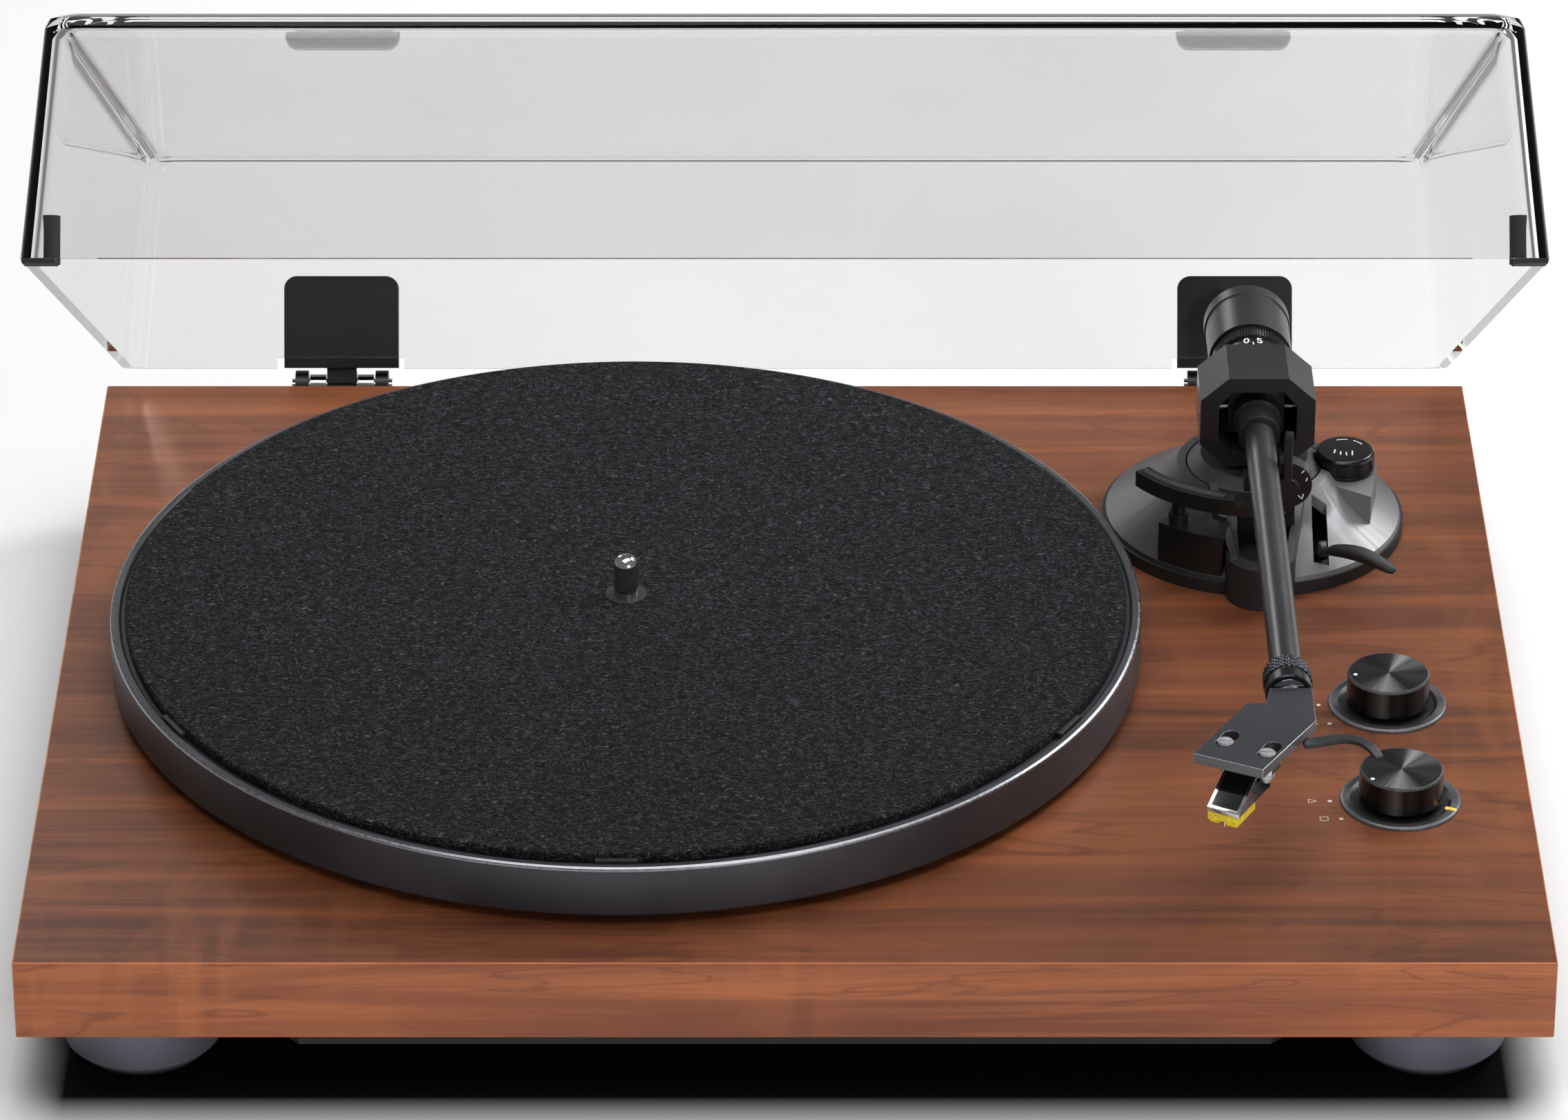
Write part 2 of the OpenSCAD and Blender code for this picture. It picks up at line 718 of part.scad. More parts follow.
// The curved block that guides the lift bar's post, grown by g and h high
module guide_block(g, h) {
    inner = 33;
    outer = 43.6;
    translate([pivot_x, pivot_y, 0]) rotate(227 - g) rotate_extrude(angle = 28 + 2 * g, $fn = 128)
        translate([inner - g, 0]) square([outer - inner + 2 * g, h]);
}

// The guide with the bush for the lift bar
module lift_guide() {
    color("#101012") difference() {
        union() {
            translate([0, 0, disc_top]) guide_block(0, 14);
            translate([lift_post[0], lift_post[1], disc_top]) cylinder(r = 3, h = 18, $fn = 48);
        }
        translate([lift_post[0], lift_post[1], disc_top + 1]) cylinder(r = 2 + seat, h = 20, $fn = 48);
    }
}

// The post with the saddle for the tube and the hub for the clip
module arm_rest() {
    color("#101012") difference() {
        union() {
            translate([clip_x - post_w / 2, rest_y - 1, disc_top]) cube([post_w, 4, clip_z - disc_top]);
            rod_y(clip_x, clip_z, 7.4, rest_y - 2, rest_y + 3);
            translate([pivot_x - 5, rest_y - 2, clip_z - 2]) cube([8, 5, 5]);
        }
        rod_y(clip_x, clip_z, 1.5, rest_y - 3, rest_y + 4);
        rod_y(pivot_x, tube_z, tube_r + 0.9, rest_y - 3, rest_y + 4);
    }
}

// ---- Tonearm ----

// The eight-sided frame with the upright shaft that it turns on
module gimbal_frame() {
    color("#202023") difference() {
        union() {
            translate([pivot_x, pivot_y + frame_d / 2, tube_z]) rotate([90, 0, 0])
                linear_extrude(frame_d) octagon(frame_w, frame_h, 8.2, 7.4);
            translate([pivot_x, pivot_y, cone_top + 3 + gap]) cylinder(r = 9, h = 3, $fn = 64);
            translate([pivot_x, pivot_y, pillar_bottom + 3])
                cylinder(r = yaw_r, h = frame_bottom - pillar_bottom - 2, $fn = 64);
        }
        translate([pivot_x, pivot_y + frame_d / 2 - frame_wall, tube_z]) rotate([90, 0, 0])
            linear_extrude(2 * frame_d) octagon(23, 20, 4, 4.6);
        rod_y(pivot_x, tube_z, 5.8, pivot_y, pivot_y + frame_d);
        rod_x([pivot_x, pivot_y, tube_z], 2.5, frame_w + 2);
    }
}

// The pointed screws that the gimbal block tilts on
module pivot_screws() {
    color("silver") for (side = [-1, 1]) {
        rod_x([pivot_x + side * 14.25, pivot_y, tube_z], 2.5, 5.5);
        rod_x([pivot_x + side * 9.5, pivot_y, tube_z], 1.2, 5);
    }
}

// The block inside the frame, with the ferrule for the tube and the stub for the weight
module gimbal_block() {
    color("#202023") difference() {
        union() {
            rod_y(pivot_x, tube_z, 7, pivot_y - 10, pivot_y + 7);
            translate([pivot_x - 8.4, pivot_y - 3, tube_z - 7.5]) cube([16.8, 9.6, 15]);
            rod_y(pivot_x, tube_z, 6.2, pivot_y - 19, pivot_y - 10);
            rod_y(pivot_x, tube_z, stub_r, pivot_y + 6, pivot_y + 46);
        }
        rod_x([pivot_x, pivot_y, tube_z], 1.2 + seat, 24);
        rod_y(pivot_x, tube_z, tube_r, pivot_y - 20, pivot_y - 5);
    }
}

// The straight tube
module arm_tube() {
    color("#2c2c2f") difference() {
        rod_y(pivot_x, tube_z, tube_r, tube_front, pivot_y - 5);
        rod_y(pivot_x, tube_z, tube_r - 0.8, tube_front - 1, pivot_y - 6);
    }
}

// The collar that locks the headshell
module locking_collar() {
    color("#303033") difference() {
        union() {
            rod_y(pivot_x, tube_z, 6.9, collar_y - 0.5, collar_y + 6);
            rod_y(pivot_x, tube_z, 6.6, collar_front, collar_y - 0.5);
            rod_y(pivot_x, tube_z, 5.8, collar_y + 6, collar_y + 7);
        }
        rod_y(pivot_x, tube_z, tube_r + seat, collar_y - 8, collar_y + 9);
    }
}

// A flat plate, with the round neck that goes into the tube and the socket under its back end
module headshell() {
    plate_rear = collar_front - 0.6;
    neck_r = tube_r - 0.9;
    socket_l = 8;
    slot_r = 2.3;
    color("#47484c") difference() {
        union() {
            translate([0, 0, plate_top - shell_t]) linear_extrude(shell_t)
                polygon([[157.6, -129.8], [176.2, -138.6], [192.2, -112.2], [192.2, plate_rear],
                    [180.9, plate_rear], [178.8, -102.4], [173.4, -102.9]]);
            rod_y(pivot_x, tube_z, neck_r, plate_rear - socket_l, tube_front + 6);
            rod_y(pivot_x, tube_z, 6.2, plate_rear - socket_l, plate_rear);
        }
        translate([shell_mid[0], shell_mid[1], plate_top - 10]) rotate(-offset_angle) for (s = [-1, 1])
            translate([s * shell_screws / 2, 0, 0]) {
                translate([-slot_r, -1, 0]) cube([2 * slot_r, 5, 20]);
                for (y = [-1, 4]) translate([0, y, 0]) cylinder(r = slot_r, h = 20, $fn = 32);
            }
        translate([pivot_x - 8, plate_rear - socket_l - 1, plate_top]) cube([16, socket_l + 1, 6]);
    }
}

// The lift starts under the plate's side, then arches up and forward
module finger_lift() {
    under = plate_top - shell_t - 1.8;
    route = [[188.7, -117.8, under], [194.3, -117.2, under], [201, -118.3, under + 2.2],
        [206.3, -122.2, under + 2.4], [208.7, -126.6, under + 0.6]];
    color("#47484c") for (i = [0:len(route) - 2]) hull() {
        for (p = [route[i], route[i + 1]]) translate(p) cylinder(r = 1.5, h = 1.8, $fn = 16);
    }
}

// A flange with two screw holes, a narrow neck between the nuts and the wider body with its sloping nose
module cartridge() {
    flange = 2.4;
    neck = 6;
    nose = 14;
    color("#26262a") translate([shell_mid[0], shell_mid[1], plate_top - shell_t]) rotate(-offset_angle) {
        difference() {
            translate([-9, -2.6, -flange]) cube([18, 6.2, flange]);
            for (s = [-1, 1]) translate([s * shell_screws / 2, 0, -5]) cylinder(r = 1.3, h = 8, $fn = 32);
        }
        translate([-3.6, -2.8, -neck]) cube([7.2, 7.8, neck - flange]);
        translate([-cartridge_w / 2, 0, 0]) rotate([90, 0, 90]) linear_extrude(cartridge_w)
            polygon([[6, -neck], [-2.8, -neck], [-2.8, -3.3], [-nose, -9.9], [-nose, -stylus_top],
                [6, -stylus_top]]);
    }
}

// The yellow block under the cartridge's nose, with the stylus near its front
module stylus() {
    color("gold") translate([shell_mid[0], shell_mid[1], plate_top - shell_t]) rotate(-offset_angle) {
        translate([-cartridge_w / 2, 0, 0]) rotate([90, 0, 90]) linear_extrude(cartridge_w)
            polygon([[-14, -stylus_top], [-14, -14.2], [-12.8, -14.6], [-3, -14.8], [-3, -stylus_top]]);
        translate([0, -12.6, -15.6]) cylinder(r1 = 0.2, r2 = 0.5, h = 1.2, $fn = 16);
    }
}

// The two screws through the headshell, with their nuts
module cartridge_screws() {
    color("silver") translate([shell_mid[0], shell_mid[1], plate_top]) rotate(-offset_angle)
        for (s = [-1, 1]) translate([s * shell_screws / 2, 0, 0]) {
            translate([0, 0, -9]) cylinder(r = 1.25, h = 9, $fn = 32);
            translate([0, 0, -1.2]) cylinder(r = 2.2, h = 1.6, $fn = 32);
            translate([0, 0, -7.6]) rotate(30) cylinder(r = 2.4, h = 2.2, $fn = 6);
        }
}

// The soft core that the weight turns on
module weight_core() {
    color("#18181a") difference() {
        rod_y(pivot_x, tube_z, core_r, weight_y - 3, weight_y + 18);
        rod_y(pivot_x, tube_z, stub_r + seat, weight_y - 20, weight_y + 30);
    }
}

// The counterweight, a little wider at its back
module counterweight() {
    color("#2a2a2d") difference() {
        union() {
            rod_y(pivot_x, tube_z, weight_r, weight_y, weight_y + weight_l - 1);
            rod_y(pivot_x, tube_z, weight_r + 0.4, weight_y + weight_l - 6, weight_y + weight_l - 1);
            rod_y(pivot_x, tube_z, weight_r - 1, weight_y + weight_l - 1, weight_y + weight_l);
        }
        rod_y(pivot_x, tube_z, core_r + seat, weight_y - 1, weight_y + 20);
        rod_y(pivot_x, tube_z, 5, weight_y + 10, weight_y + weight_l + 1);
    }
}

// The stylus force dial in front of the weight
module force_dial() {
    color("#141416") difference() {
        union() {
            rod_y(pivot_x, tube_z, weight_r - 0.6, weight_y - 6, weight_y - gap);
            rod_y(pivot_x, tube_z, weight_r - 1.6, weight_y - 11.5, weight_y - 6);
        }
        rod_y(pivot_x, tube_z, core_r + seat, weight_y - 3 - gap, weight_y + 1);
        rod_y(pivot_x, tube_z, stub_r + gap, weight_y - 12, weight_y);
    }
}

// ---- Arm lifter and clip ----

// The lever of the arm lift, with its flat black paddle
module cue_lever() {
    reach = 14.6;
    low = 157;
    stub = [lever_axis[0], lever_axis[1] + reach * cos(low), lever_axis[2] + reach * sin(low)];
    color("silver") {
        rod_x([lever_axis[0] - 2, lever_axis[1], lever_axis[2]], 2.8, 9);
        hull() {
            rod_x([lever_axis[0], lever_axis[1], lever_axis[2]], 1.5, 3);
            rod_x(stub, 1.5, 3);
        }
        hull() {
            translate(stub) sphere(r = 1.5, $fn = 20);
            translate(stub + [3.6, -4, 3.4]) sphere(r = 1.5, $fn = 20);
        }
    }
    color("black") hull() {
        translate(stub + [3.6, -4, 3.4]) sphere(r = 2.4, $fn = 24);
        translate(stub + [11, -8.5, 4.4]) sphere(r = 2.6, $fn = 24);
        translate(stub + [19.5, -14, 2.4]) sphere(r = 2, $fn = 24);
    }
}

// The curved bar that lifts the tube, with a lower step at its right end and the post it rides on
module lift_bar() {
    top = 11.2;
    bottom = top - lift_drop;
    from = 214;
    step = 259;
    to = 273;
    color("#101012") {
        difference() {
            translate([pivot_x, pivot_y, bottom]) rotate(from) rotate_extrude(angle = to - from, $fn = 128)
                translate([lift_r - 2.4, 0]) square([4.8, lift_drop]);
            translate([pivot_x, pivot_y, top - 1.6]) rotate(step) rotate_extrude(angle = 30, $fn = 128)
                translate([lift_r - 5, 0]) square([10, 5]);
        }
        translate([lift_post[0], lift_post[1], disc_top + 2])
            cylinder(r = 2, h = bottom - disc_top - 1.9, $fn = 48);
    }
}

// The blade that keeps the arm on its rest, with the round boss it turns on
module arm_clip() {
    front_y = rest_y - 2 - gap;
    color("#101012") {
        rod_y(clip_x, clip_z, 1.5 - seat, front_y, rest_y + 3);
        rod_y(clip_x, clip_z, 3.6, front_y - 2.6, front_y);
        translate([clip_x - 1.2, front_y - 2.6, clip_z - 6]) cube([2.4, 2.6, 23]);
        translate([clip_x - 1.2, front_y, clip_z + 17]) rotate([0, 90, 0])
            linear_extrude(2.4) polygon([[0, 0], [0, -2.6], [-2.4, -1.9]]);
    }
}

// The anti-skate dial on its post
module anti_skate_dial() {
    color("#101012") translate([dial_place[0], dial_place[1], 0]) {
        translate([0, 0, dial_low]) rotate_extrude($fn = 96)
            polygon([[0, 0], [dial_r, 0], [dial_r, 5], [dial_r - 0.7, 6], [0, 6]]);
        translate([0, 0, disc_top + 4]) cylinder(r = 2, h = dial_low - disc_top - 3, $fn = 32);
    }
}

// ---- Drawing ----

plinth();
bottom_cover();
base_screws();
foot_front_left();
foot_front_right();
foot_rear_left();
foot_rear_right();
foot_pads();
bearing_housing();
bearing_ball();
motor();
motor_bracket();
drive_belt();
control_board();
terminal_panel();
rca_jacks();
ground_post();
dc_inlet();
line_switch();
speed_bezel();
start_bezel();
speed_selector();
start_switch();
power_led();
hinge_base_left();
hinge_base_right();
arm_base_disc();
arm_base_cone();
arm_pillar();
lift_guide();
arm_rest();
platter();
sub_platter();
spindle();
slip_mat();
motor_pulley();
speed_knob();
start_knob();
dust_cover();
lid_bumpers();
hinge_plate_left();
hinge_plate_right();
hinge_pins();
gimbal_frame();
pivot_screws();
gimbal_block();
arm_tube();
locking_collar();
headshell();
finger_lift();
cartridge();
stylus();
cartridge_screws();
weight_core();
counterweight();
force_dial();
cue_lever();
lift_bar();
arm_clip();
anti_skate_dial();
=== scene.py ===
"""The looks of a belt-driven record player: wooden plinth, felt-topped platter, straight arm and
clear lid. Metres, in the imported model's frame: the spindle is the Z axis, +X is the arm's side
and -Y is the front. The measures of single pieces are in millimetres."""
import bpy
import bmesh
from math import cos, pi, radians, sin
from mathutils import Matrix, Vector
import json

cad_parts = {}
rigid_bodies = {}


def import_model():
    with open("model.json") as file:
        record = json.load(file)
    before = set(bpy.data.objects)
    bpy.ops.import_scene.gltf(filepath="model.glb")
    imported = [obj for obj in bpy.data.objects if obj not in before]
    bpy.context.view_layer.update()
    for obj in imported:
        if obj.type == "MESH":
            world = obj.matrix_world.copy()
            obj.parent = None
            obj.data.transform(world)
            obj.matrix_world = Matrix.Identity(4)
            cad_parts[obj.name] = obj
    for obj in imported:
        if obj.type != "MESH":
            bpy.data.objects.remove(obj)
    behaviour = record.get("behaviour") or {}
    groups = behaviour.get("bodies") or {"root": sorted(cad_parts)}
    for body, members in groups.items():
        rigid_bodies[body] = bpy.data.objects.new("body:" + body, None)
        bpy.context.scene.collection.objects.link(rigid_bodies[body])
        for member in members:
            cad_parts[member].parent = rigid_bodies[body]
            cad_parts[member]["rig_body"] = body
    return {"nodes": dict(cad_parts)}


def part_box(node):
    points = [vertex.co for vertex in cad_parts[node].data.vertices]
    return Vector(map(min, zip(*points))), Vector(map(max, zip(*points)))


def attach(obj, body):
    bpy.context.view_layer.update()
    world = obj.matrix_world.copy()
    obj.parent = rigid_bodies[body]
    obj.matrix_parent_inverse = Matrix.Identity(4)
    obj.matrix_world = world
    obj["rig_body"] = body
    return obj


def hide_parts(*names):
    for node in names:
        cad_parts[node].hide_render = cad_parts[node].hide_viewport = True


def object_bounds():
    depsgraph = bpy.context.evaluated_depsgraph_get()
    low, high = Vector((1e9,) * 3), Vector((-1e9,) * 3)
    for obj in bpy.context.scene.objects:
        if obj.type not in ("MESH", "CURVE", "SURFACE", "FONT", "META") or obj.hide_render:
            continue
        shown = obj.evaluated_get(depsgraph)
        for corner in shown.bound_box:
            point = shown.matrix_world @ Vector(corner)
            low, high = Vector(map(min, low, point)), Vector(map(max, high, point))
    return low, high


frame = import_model()
cad_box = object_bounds()

MM = 0.001
NOISE_LOW, NOISE_HIGH = 0.3, 0.7  # Nearly all of a noise lies between these.
MIX_FIRST, MIX_SECOND, MIX_RESULT = 6, 7, 2  # A mix node's sockets for colours.


# ---- Measures taken from the frame ----

def middle(node):
    """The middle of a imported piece's box."""
    low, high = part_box(node)
    return (low + high) / 2


def size(node):
    """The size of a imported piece's box."""
    low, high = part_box(node)
    return high - low


# ---- Colours and node groups ----

def linear(byte):
    """A screen colour value from 0 to 255 as linear light."""
    share = byte / 255
    return share / 12.92 if share <= 0.04045 else ((share + 0.055) / 1.055) ** 2.4


def colour(red, green, blue):
    """A colour for a shader's socket."""
    return (linear(red), linear(green), linear(blue), 1)


class Finish:
    """A material with one Principled shader, and short ways of adding texture nodes to it."""

    def __init__(self, name, base, roughness, **sockets):
        self.material = bpy.data.materials.new(name)
        self.material.use_nodes = True
        self.tree = self.material.node_tree
        self.shader = self.tree.nodes["Principled BSDF"]
        self.shader.inputs["Base Color"].default_value = colour(*base)
        self.shader.inputs["Roughness"].default_value = roughness
        for socket, value in sockets.items():
            self.shader.inputs[socket.replace("_", " ")].default_value = value
        self.material.diffuse_color = colour(*base)
        self.place = self.tree.nodes.new("ShaderNodeTexCoord").outputs["Object"]

    def node(self, kind, values=None, **settings):
        """Adds a node, sets its properties and sockets, and joins the sockets given as links."""
        made = self.tree.nodes.new(kind)
        for name, value in settings.items():
            setattr(made, name, value)
        for name, value in (values or {}).items():
            if isinstance(value, bpy.types.NodeSocket):
                self.tree.links.new(value, made.inputs[name])
            else:
                made.inputs[name].default_value = value
        return made

    def stretched(self, scale, centre=(0, 0, 0)):
        """The object's coordinates, scaled and then moved."""
        return self.node("ShaderNodeMapping", {
            "Vector": self.place, "Location": centre, "Scale": scale}).outputs[0]

    def noise(self, scale, detail=3, rough=0.55, place=None, distortion=0.0):
        """Noise from 0 to 1."""
        return self.node("ShaderNodeTexNoise", {
            "Vector": place or self.place, "Scale": scale, "Detail": detail, "Roughness": rough,
            "Distortion": distortion}).outputs["Fac"]

    def ranged(self, value, low, high, to_low, to_high):
        """A value moved from one range to another, held at its ends."""
        return self.node("ShaderNodeMapRange", {
            "Value": value, "From Min": low, "From Max": high, "To Min": to_low,
            "To Max": to_high}).outputs["Result"]

    def widened(self, noise, to_low, to_high):
        """A noise moved to a range that it fills."""
        return self.ranged(noise, NOISE_LOW, NOISE_HIGH, to_low, to_high)

    def maths(self, way, first, second=0.0):
        """Arithmetic on two values."""
        return self.node("ShaderNodeMath", {0: first, 1: second}, operation=way).outputs[0]

    def vectors(self, way, first, second):
        """Arithmetic on two vectors."""
        return self.node("ShaderNodeVectorMath", {0: first, 1: second}, operation=way).outputs[0]

    def mixed(self, share, first, second):
        """Two colours mixed."""
        return self.node("ShaderNodeMix", {"Factor": share, MIX_FIRST: first, MIX_SECOND: second},
                         data_type="RGBA").outputs[MIX_RESULT]

    def paint(self, link):
        """Joins a colour to the shader."""
        self.tree.links.new(link, self.shader.inputs["Base Color"])

    def clouded(self, noise, first, second):
        """Paints with two colours that a noise mixes."""
        self.paint(self.mixed(self.widened(noise, 0, 1), colour(*first), colour(*second)))

    def gloss(self, link):
        """Joins a roughness to the shader."""
        self.tree.links.new(link, self.shader.inputs["Roughness"])

    def relief(self, height, depth, strength):
        """Bumps of the given depth in metres."""
        bump = self.node("ShaderNodeBump", {
            "Height": height, "Distance": depth, "Strength": strength})
        self.tree.links.new(bump.outputs[0], self.shader.inputs["Normal"])


def cast(name, base, roughness, spread=0.06, grain=1400, depth=0.00002, **sockets):
    """A painted, moulded or cast finish: uneven gloss, a faint change of tone, a fine tooth."""
    finish = Finish(name, base, roughness, **sockets)
    clouds = finish.noise(18, 4)
    tooth = finish.noise(grain, 2)
    change = 0.12
    dark = colour(*(value * (1 - change) for value in base))
    light = colour(*(min(255, value * (1 + change) + 1) for value in base))
    finish.paint(finish.mixed(finish.ranged(clouds, 0.35, 0.65, 0, 1), dark, light))
    blend = finish.maths("ADD", finish.maths("MULTIPLY", clouds, 0.6),
                         finish.maths("MULTIPLY", tooth, 0.4))
    finish.gloss(finish.widened(blend, roughness - spread, roughness + spread))
    finish.relief(tooth, depth, 0.6)
    return finish.material


def radial(finish, centre):
    """Sets a shader's tangent so that its gloss spreads as on a face turned about the centre."""
    away = finish.vectors("SUBTRACT", finish.place, centre)
    around = finish.vectors("CROSS_PRODUCT", away, (0, 0, 1))
    straight = finish.node("ShaderNodeVectorMath", {0: around}, operation="NORMALIZE").outputs[0]
    finish.tree.links.new(straight, finish.shader.inputs["Tangent"])
    return away


def fans(finish, away, tones, sway):
    """Painted highlights and shade: grey fans about a centre, where tones hold an angle in degrees
    and a grey from 0 to 255.
    """
    parts = finish.node("ShaderNodeSeparateXYZ", {0: away})
    angle = finish.maths("ARCTAN2", parts.outputs["Y"], parts.outputs["X"])
    share = finish.maths("ADD", finish.maths("DIVIDE", angle, 2 * pi), 0.5)
    fine = finish.node("ShaderNodeTexNoise", {
        "W": share, "Scale": 90.0, "Detail": 4.0, "Roughness": 0.7},
        noise_dimensions="1D").outputs["Fac"]
    swayed = finish.maths("ADD", share, finish.widened(fine, -sway, sway))
    ramp = finish.node("ShaderNodeValToRGB", {"Fac": swayed})
    stops = ramp.color_ramp.elements
    for number, (turn, grey) in enumerate(tones):
        stop = stops[number] if number < 2 else stops.new(1)
        stop.position = (turn + 180) / 360
        stop.color = colour(grey, grey, grey + 2)
    return ramp.outputs["Color"], fine


def spun(name, roughness, centre, tones, anisotropic=0.8, sway=0.014):
    """Dark metal faced on a lathe, with fine rings in its gloss about the centre; its colour holds
    painted highlights and shade in fans about the centre.
    """
    finish = Finish(name, (60, 60, 62), roughness, Metallic=0.55, Anisotropic=anisotropic)
    away = radial(finish, centre)
    tone, fine = fans(finish, away, tones, sway)
    # The base colour is painted highlights and shade.
    finish.paint(tone)
    finish.gloss(finish.widened(fine, roughness - 0.05, roughness + 0.07))
    return finish.material


def brushed(name, base, roughness, scale, metallic=1.0):
    """Metal with fine lines: scale is small along the lines and large across them."""
    finish = Finish(name, base, roughness, Metallic=metallic)
    lines = finish.noise(1.0, 4, 0.6, finish.stretched(scale))
    finish.gloss(finish.widened(lines, max(0.03, roughness - 0.08), roughness + 0.08))
    finish.clouded(lines, [value * 0.82 for value in base], base)
    finish.relief(lines, 0.00001, 0.5)
    return finish.material


# ---- Finishes of the pieces ----

def veneer(name, shift=0.0, lighter=1.0, along_x=True):
    """Reddish brown cherry veneer under satin lacquer, its grain along X or along Y. Lighter copies
    stand as painted light on the plinth's front and as a painted highlight on its eased edges.
    """
    finish = Finish(name, (112, 62, 40), 0.42, Coat_Weight=0.05, Coat_Roughness=0.25,
                    Specular_IOR_Level=0.4)

    def grain(long, across):
        """A pattern's scales, by its lines' direction."""
        return (long, across, across) if along_x else (across, long, across)

    along = finish.stretched(grain(1, 9), centre=(shift, shift * 3, 0))
    sway = finish.noise(2.2, 2, 0.5, along)
    push = finish.node("ShaderNodeCombineXYZ", {
        "Y": finish.maths("MULTIPLY", sway, 1.1), "Z": finish.maths("MULTIPLY", sway, 0.5)})
    swayed = finish.vectors("ADD", along, push.outputs[0])
    bands = finish.noise(1.7, 5, 0.6, swayed, 0.4)
    drawn_out = finish.stretched(grain(3.2, 90), centre=(shift, 0, 0))
    streaks = finish.noise(1.0, 8, 0.68, drawn_out, 0.7)
    lines = finish.noise(4.2, 3, 0.5, swayed, 0.9)
    pores = finish.noise(1.0, 3, 0.6, finish.stretched(grain(60, 1700)))
    curl = finish.noise(1.0, 3, 0.55, finish.stretched(grain(60, 15)), 0.8)
    patches = finish.noise(5.5, 2, 0.5)
    deep, mid, warm = (colour(*(min(255, v * lighter) for v in c))
                       for c in ((76, 40, 25), (116, 64, 38), (150, 88, 50)))
    tone = finish.mixed(finish.ranged(bands, 0.34, 0.62, 0, 1), deep, mid)
    tone = finish.mixed(finish.ranged(streaks, 0.42, 0.72, 0, 0.75), tone, warm)
    figure = finish.maths("MULTIPLY", finish.ranged(curl, 0.46, 0.66, 0, 0.34),
                          finish.ranged(patches, 0.45, 0.62, 0, 1))
    tone = finish.mixed(figure, tone, warm)
    thin = finish.maths("ABSOLUTE", finish.maths("SUBTRACT", lines, 0.47))
    tone = finish.mixed(finish.ranged(thin, 0.0, 0.012, 0.5, 0), tone, deep)
    tone = finish.mixed(finish.ranged(pores, 0.56, 0.74, 0, 0.38), tone, deep)
    finish.paint(tone)
    finish.gloss(finish.widened(streaks, 0.44, 0.33))
    finish.relief(pores, 0.00003, 0.5)
    return finish.material


def felt(name):
    """Black wool felt with short light fibres lying in every direction."""
    finish = Finish(name, (27, 27, 29), 0.95, Specular_IOR_Level=0.08)
    clumps = finish.noise(260, 3, 0.6)
    wander = finish.node("ShaderNodeTexNoise", {
        "Vector": finish.place, "Scale": 420.0, "Detail": 1.0}).outputs["Color"]
    push = finish.node("ShaderNodeVectorMath", {0: wander, "Scale": 0.0042}, operation="SCALE")
    bent = finish.vectors("ADD", finish.place, push.outputs[0])
    shares = []
    for turn in (0.25, 1.2, 2.2, 2.9):
        lying = finish.node("ShaderNodeMapping", {
            "Vector": bent, "Rotation": (0, 0, turn), "Scale": (420, 2600, 900)}).outputs[0]
        hair = finish.noise(1.0, 1, 0.5, lying)
        shares.append(finish.ranged(hair, 0.62, 0.76, 0, 1))
    hairs = finish.maths("MAXIMUM", finish.maths("MAXIMUM", shares[0], shares[1]),
                         finish.maths("MAXIMUM", shares[2], shares[3]))
    tone = finish.mixed(finish.ranged(clumps, 0.35, 0.68, 0, 1),
                        colour(16, 16, 18), colour(25, 25, 27))
    finish.paint(finish.mixed(finish.maths("MULTIPLY", hairs, 0.8), tone, colour(88, 88, 92)))
    finish.relief(finish.maths("ADD", hairs, clumps), 0.0003, 0.6)
    return finish.material


def acrylic(name):
    """Clear, faintly grey moulded acrylic that lets lamps shine through."""
    finish = Finish(name, (236, 236, 237), 0.0, Transmission_Weight=1.0, IOR=1.3)
    finish.clouded(finish.noise(9, 3), (233, 233, 234), (238, 238, 239))
    output = finish.tree.nodes["Material Output"]
    clear = finish.node("ShaderNodeBsdfTransparent", {"Color": (0.86, 0.86, 0.87, 1)})
    shadow = finish.node("ShaderNodeLightPath").outputs["Is Shadow Ray"]
    mix = finish.node("ShaderNodeMixShader", {
        0: shadow, 1: finish.shader.outputs[0], 2: clear.outputs[0]})
    finish.tree.links.new(mix.outputs[0], output.inputs["Surface"])
    return finish.material


def amber(name):
    """A small lit amber lens."""
    finish = Finish(name, (255, 176, 66), 0.25)
    finish.clouded(finish.noise(900, 2), (240, 150, 40), (255, 196, 92))
    finish.shader.inputs["Emission Color"].default_value = colour(255, 176, 66)
    finish.shader.inputs["Emission Strength"].default_value = 0.8
    return finish.material


def translucent_yellow(name):
    """Yellow moulded plastic that light soaks into."""
    finish = Finish(name, (240, 214, 20), 0.22, Subsurface_Weight=0.35, Subsurface_Scale=0.002)
    cloud = finish.noise(700, 2)
    finish.clouded(cloud, (222, 190, 8), (248, 228, 60))
    finish.relief(cloud, 0.00001, 0.4)
    return finish.material


def circuit(name):
    """Green solder mask with copper tracks under it."""
    finish = Finish(name, (22, 74, 44), 0.35)
    tracks = finish.node("ShaderNodeTexBrick", {
        "Vector": finish.place, "Scale": 60.0, "Color1": colour(26, 84, 48),
        "Color2": colour(18, 62, 38), "Mortar": colour(58, 120, 60), "Mortar Size": 0.03})
    finish.paint(tracks.outputs["Color"])
    finish.gloss(finish.widened(finish.noise(300), 0.3, 0.42))
    return finish.material


SPEED = middle("speed_knob")
START = middle("start_knob")
WOOD = veneer("cherry_veneer")
# A lighter copy of the veneer: painted light on the plinth's front.
WOOD_FRONT_LIT = veneer("cherry_veneer_front_lit", 0.37, 1.42)
WOOD_ENDS = veneer("cherry_veneer_ends", 0.61, 1.05, False)
BOARD = cast("black_board", (22, 22, 23), 0.6, grain=700, depth=0.00005)
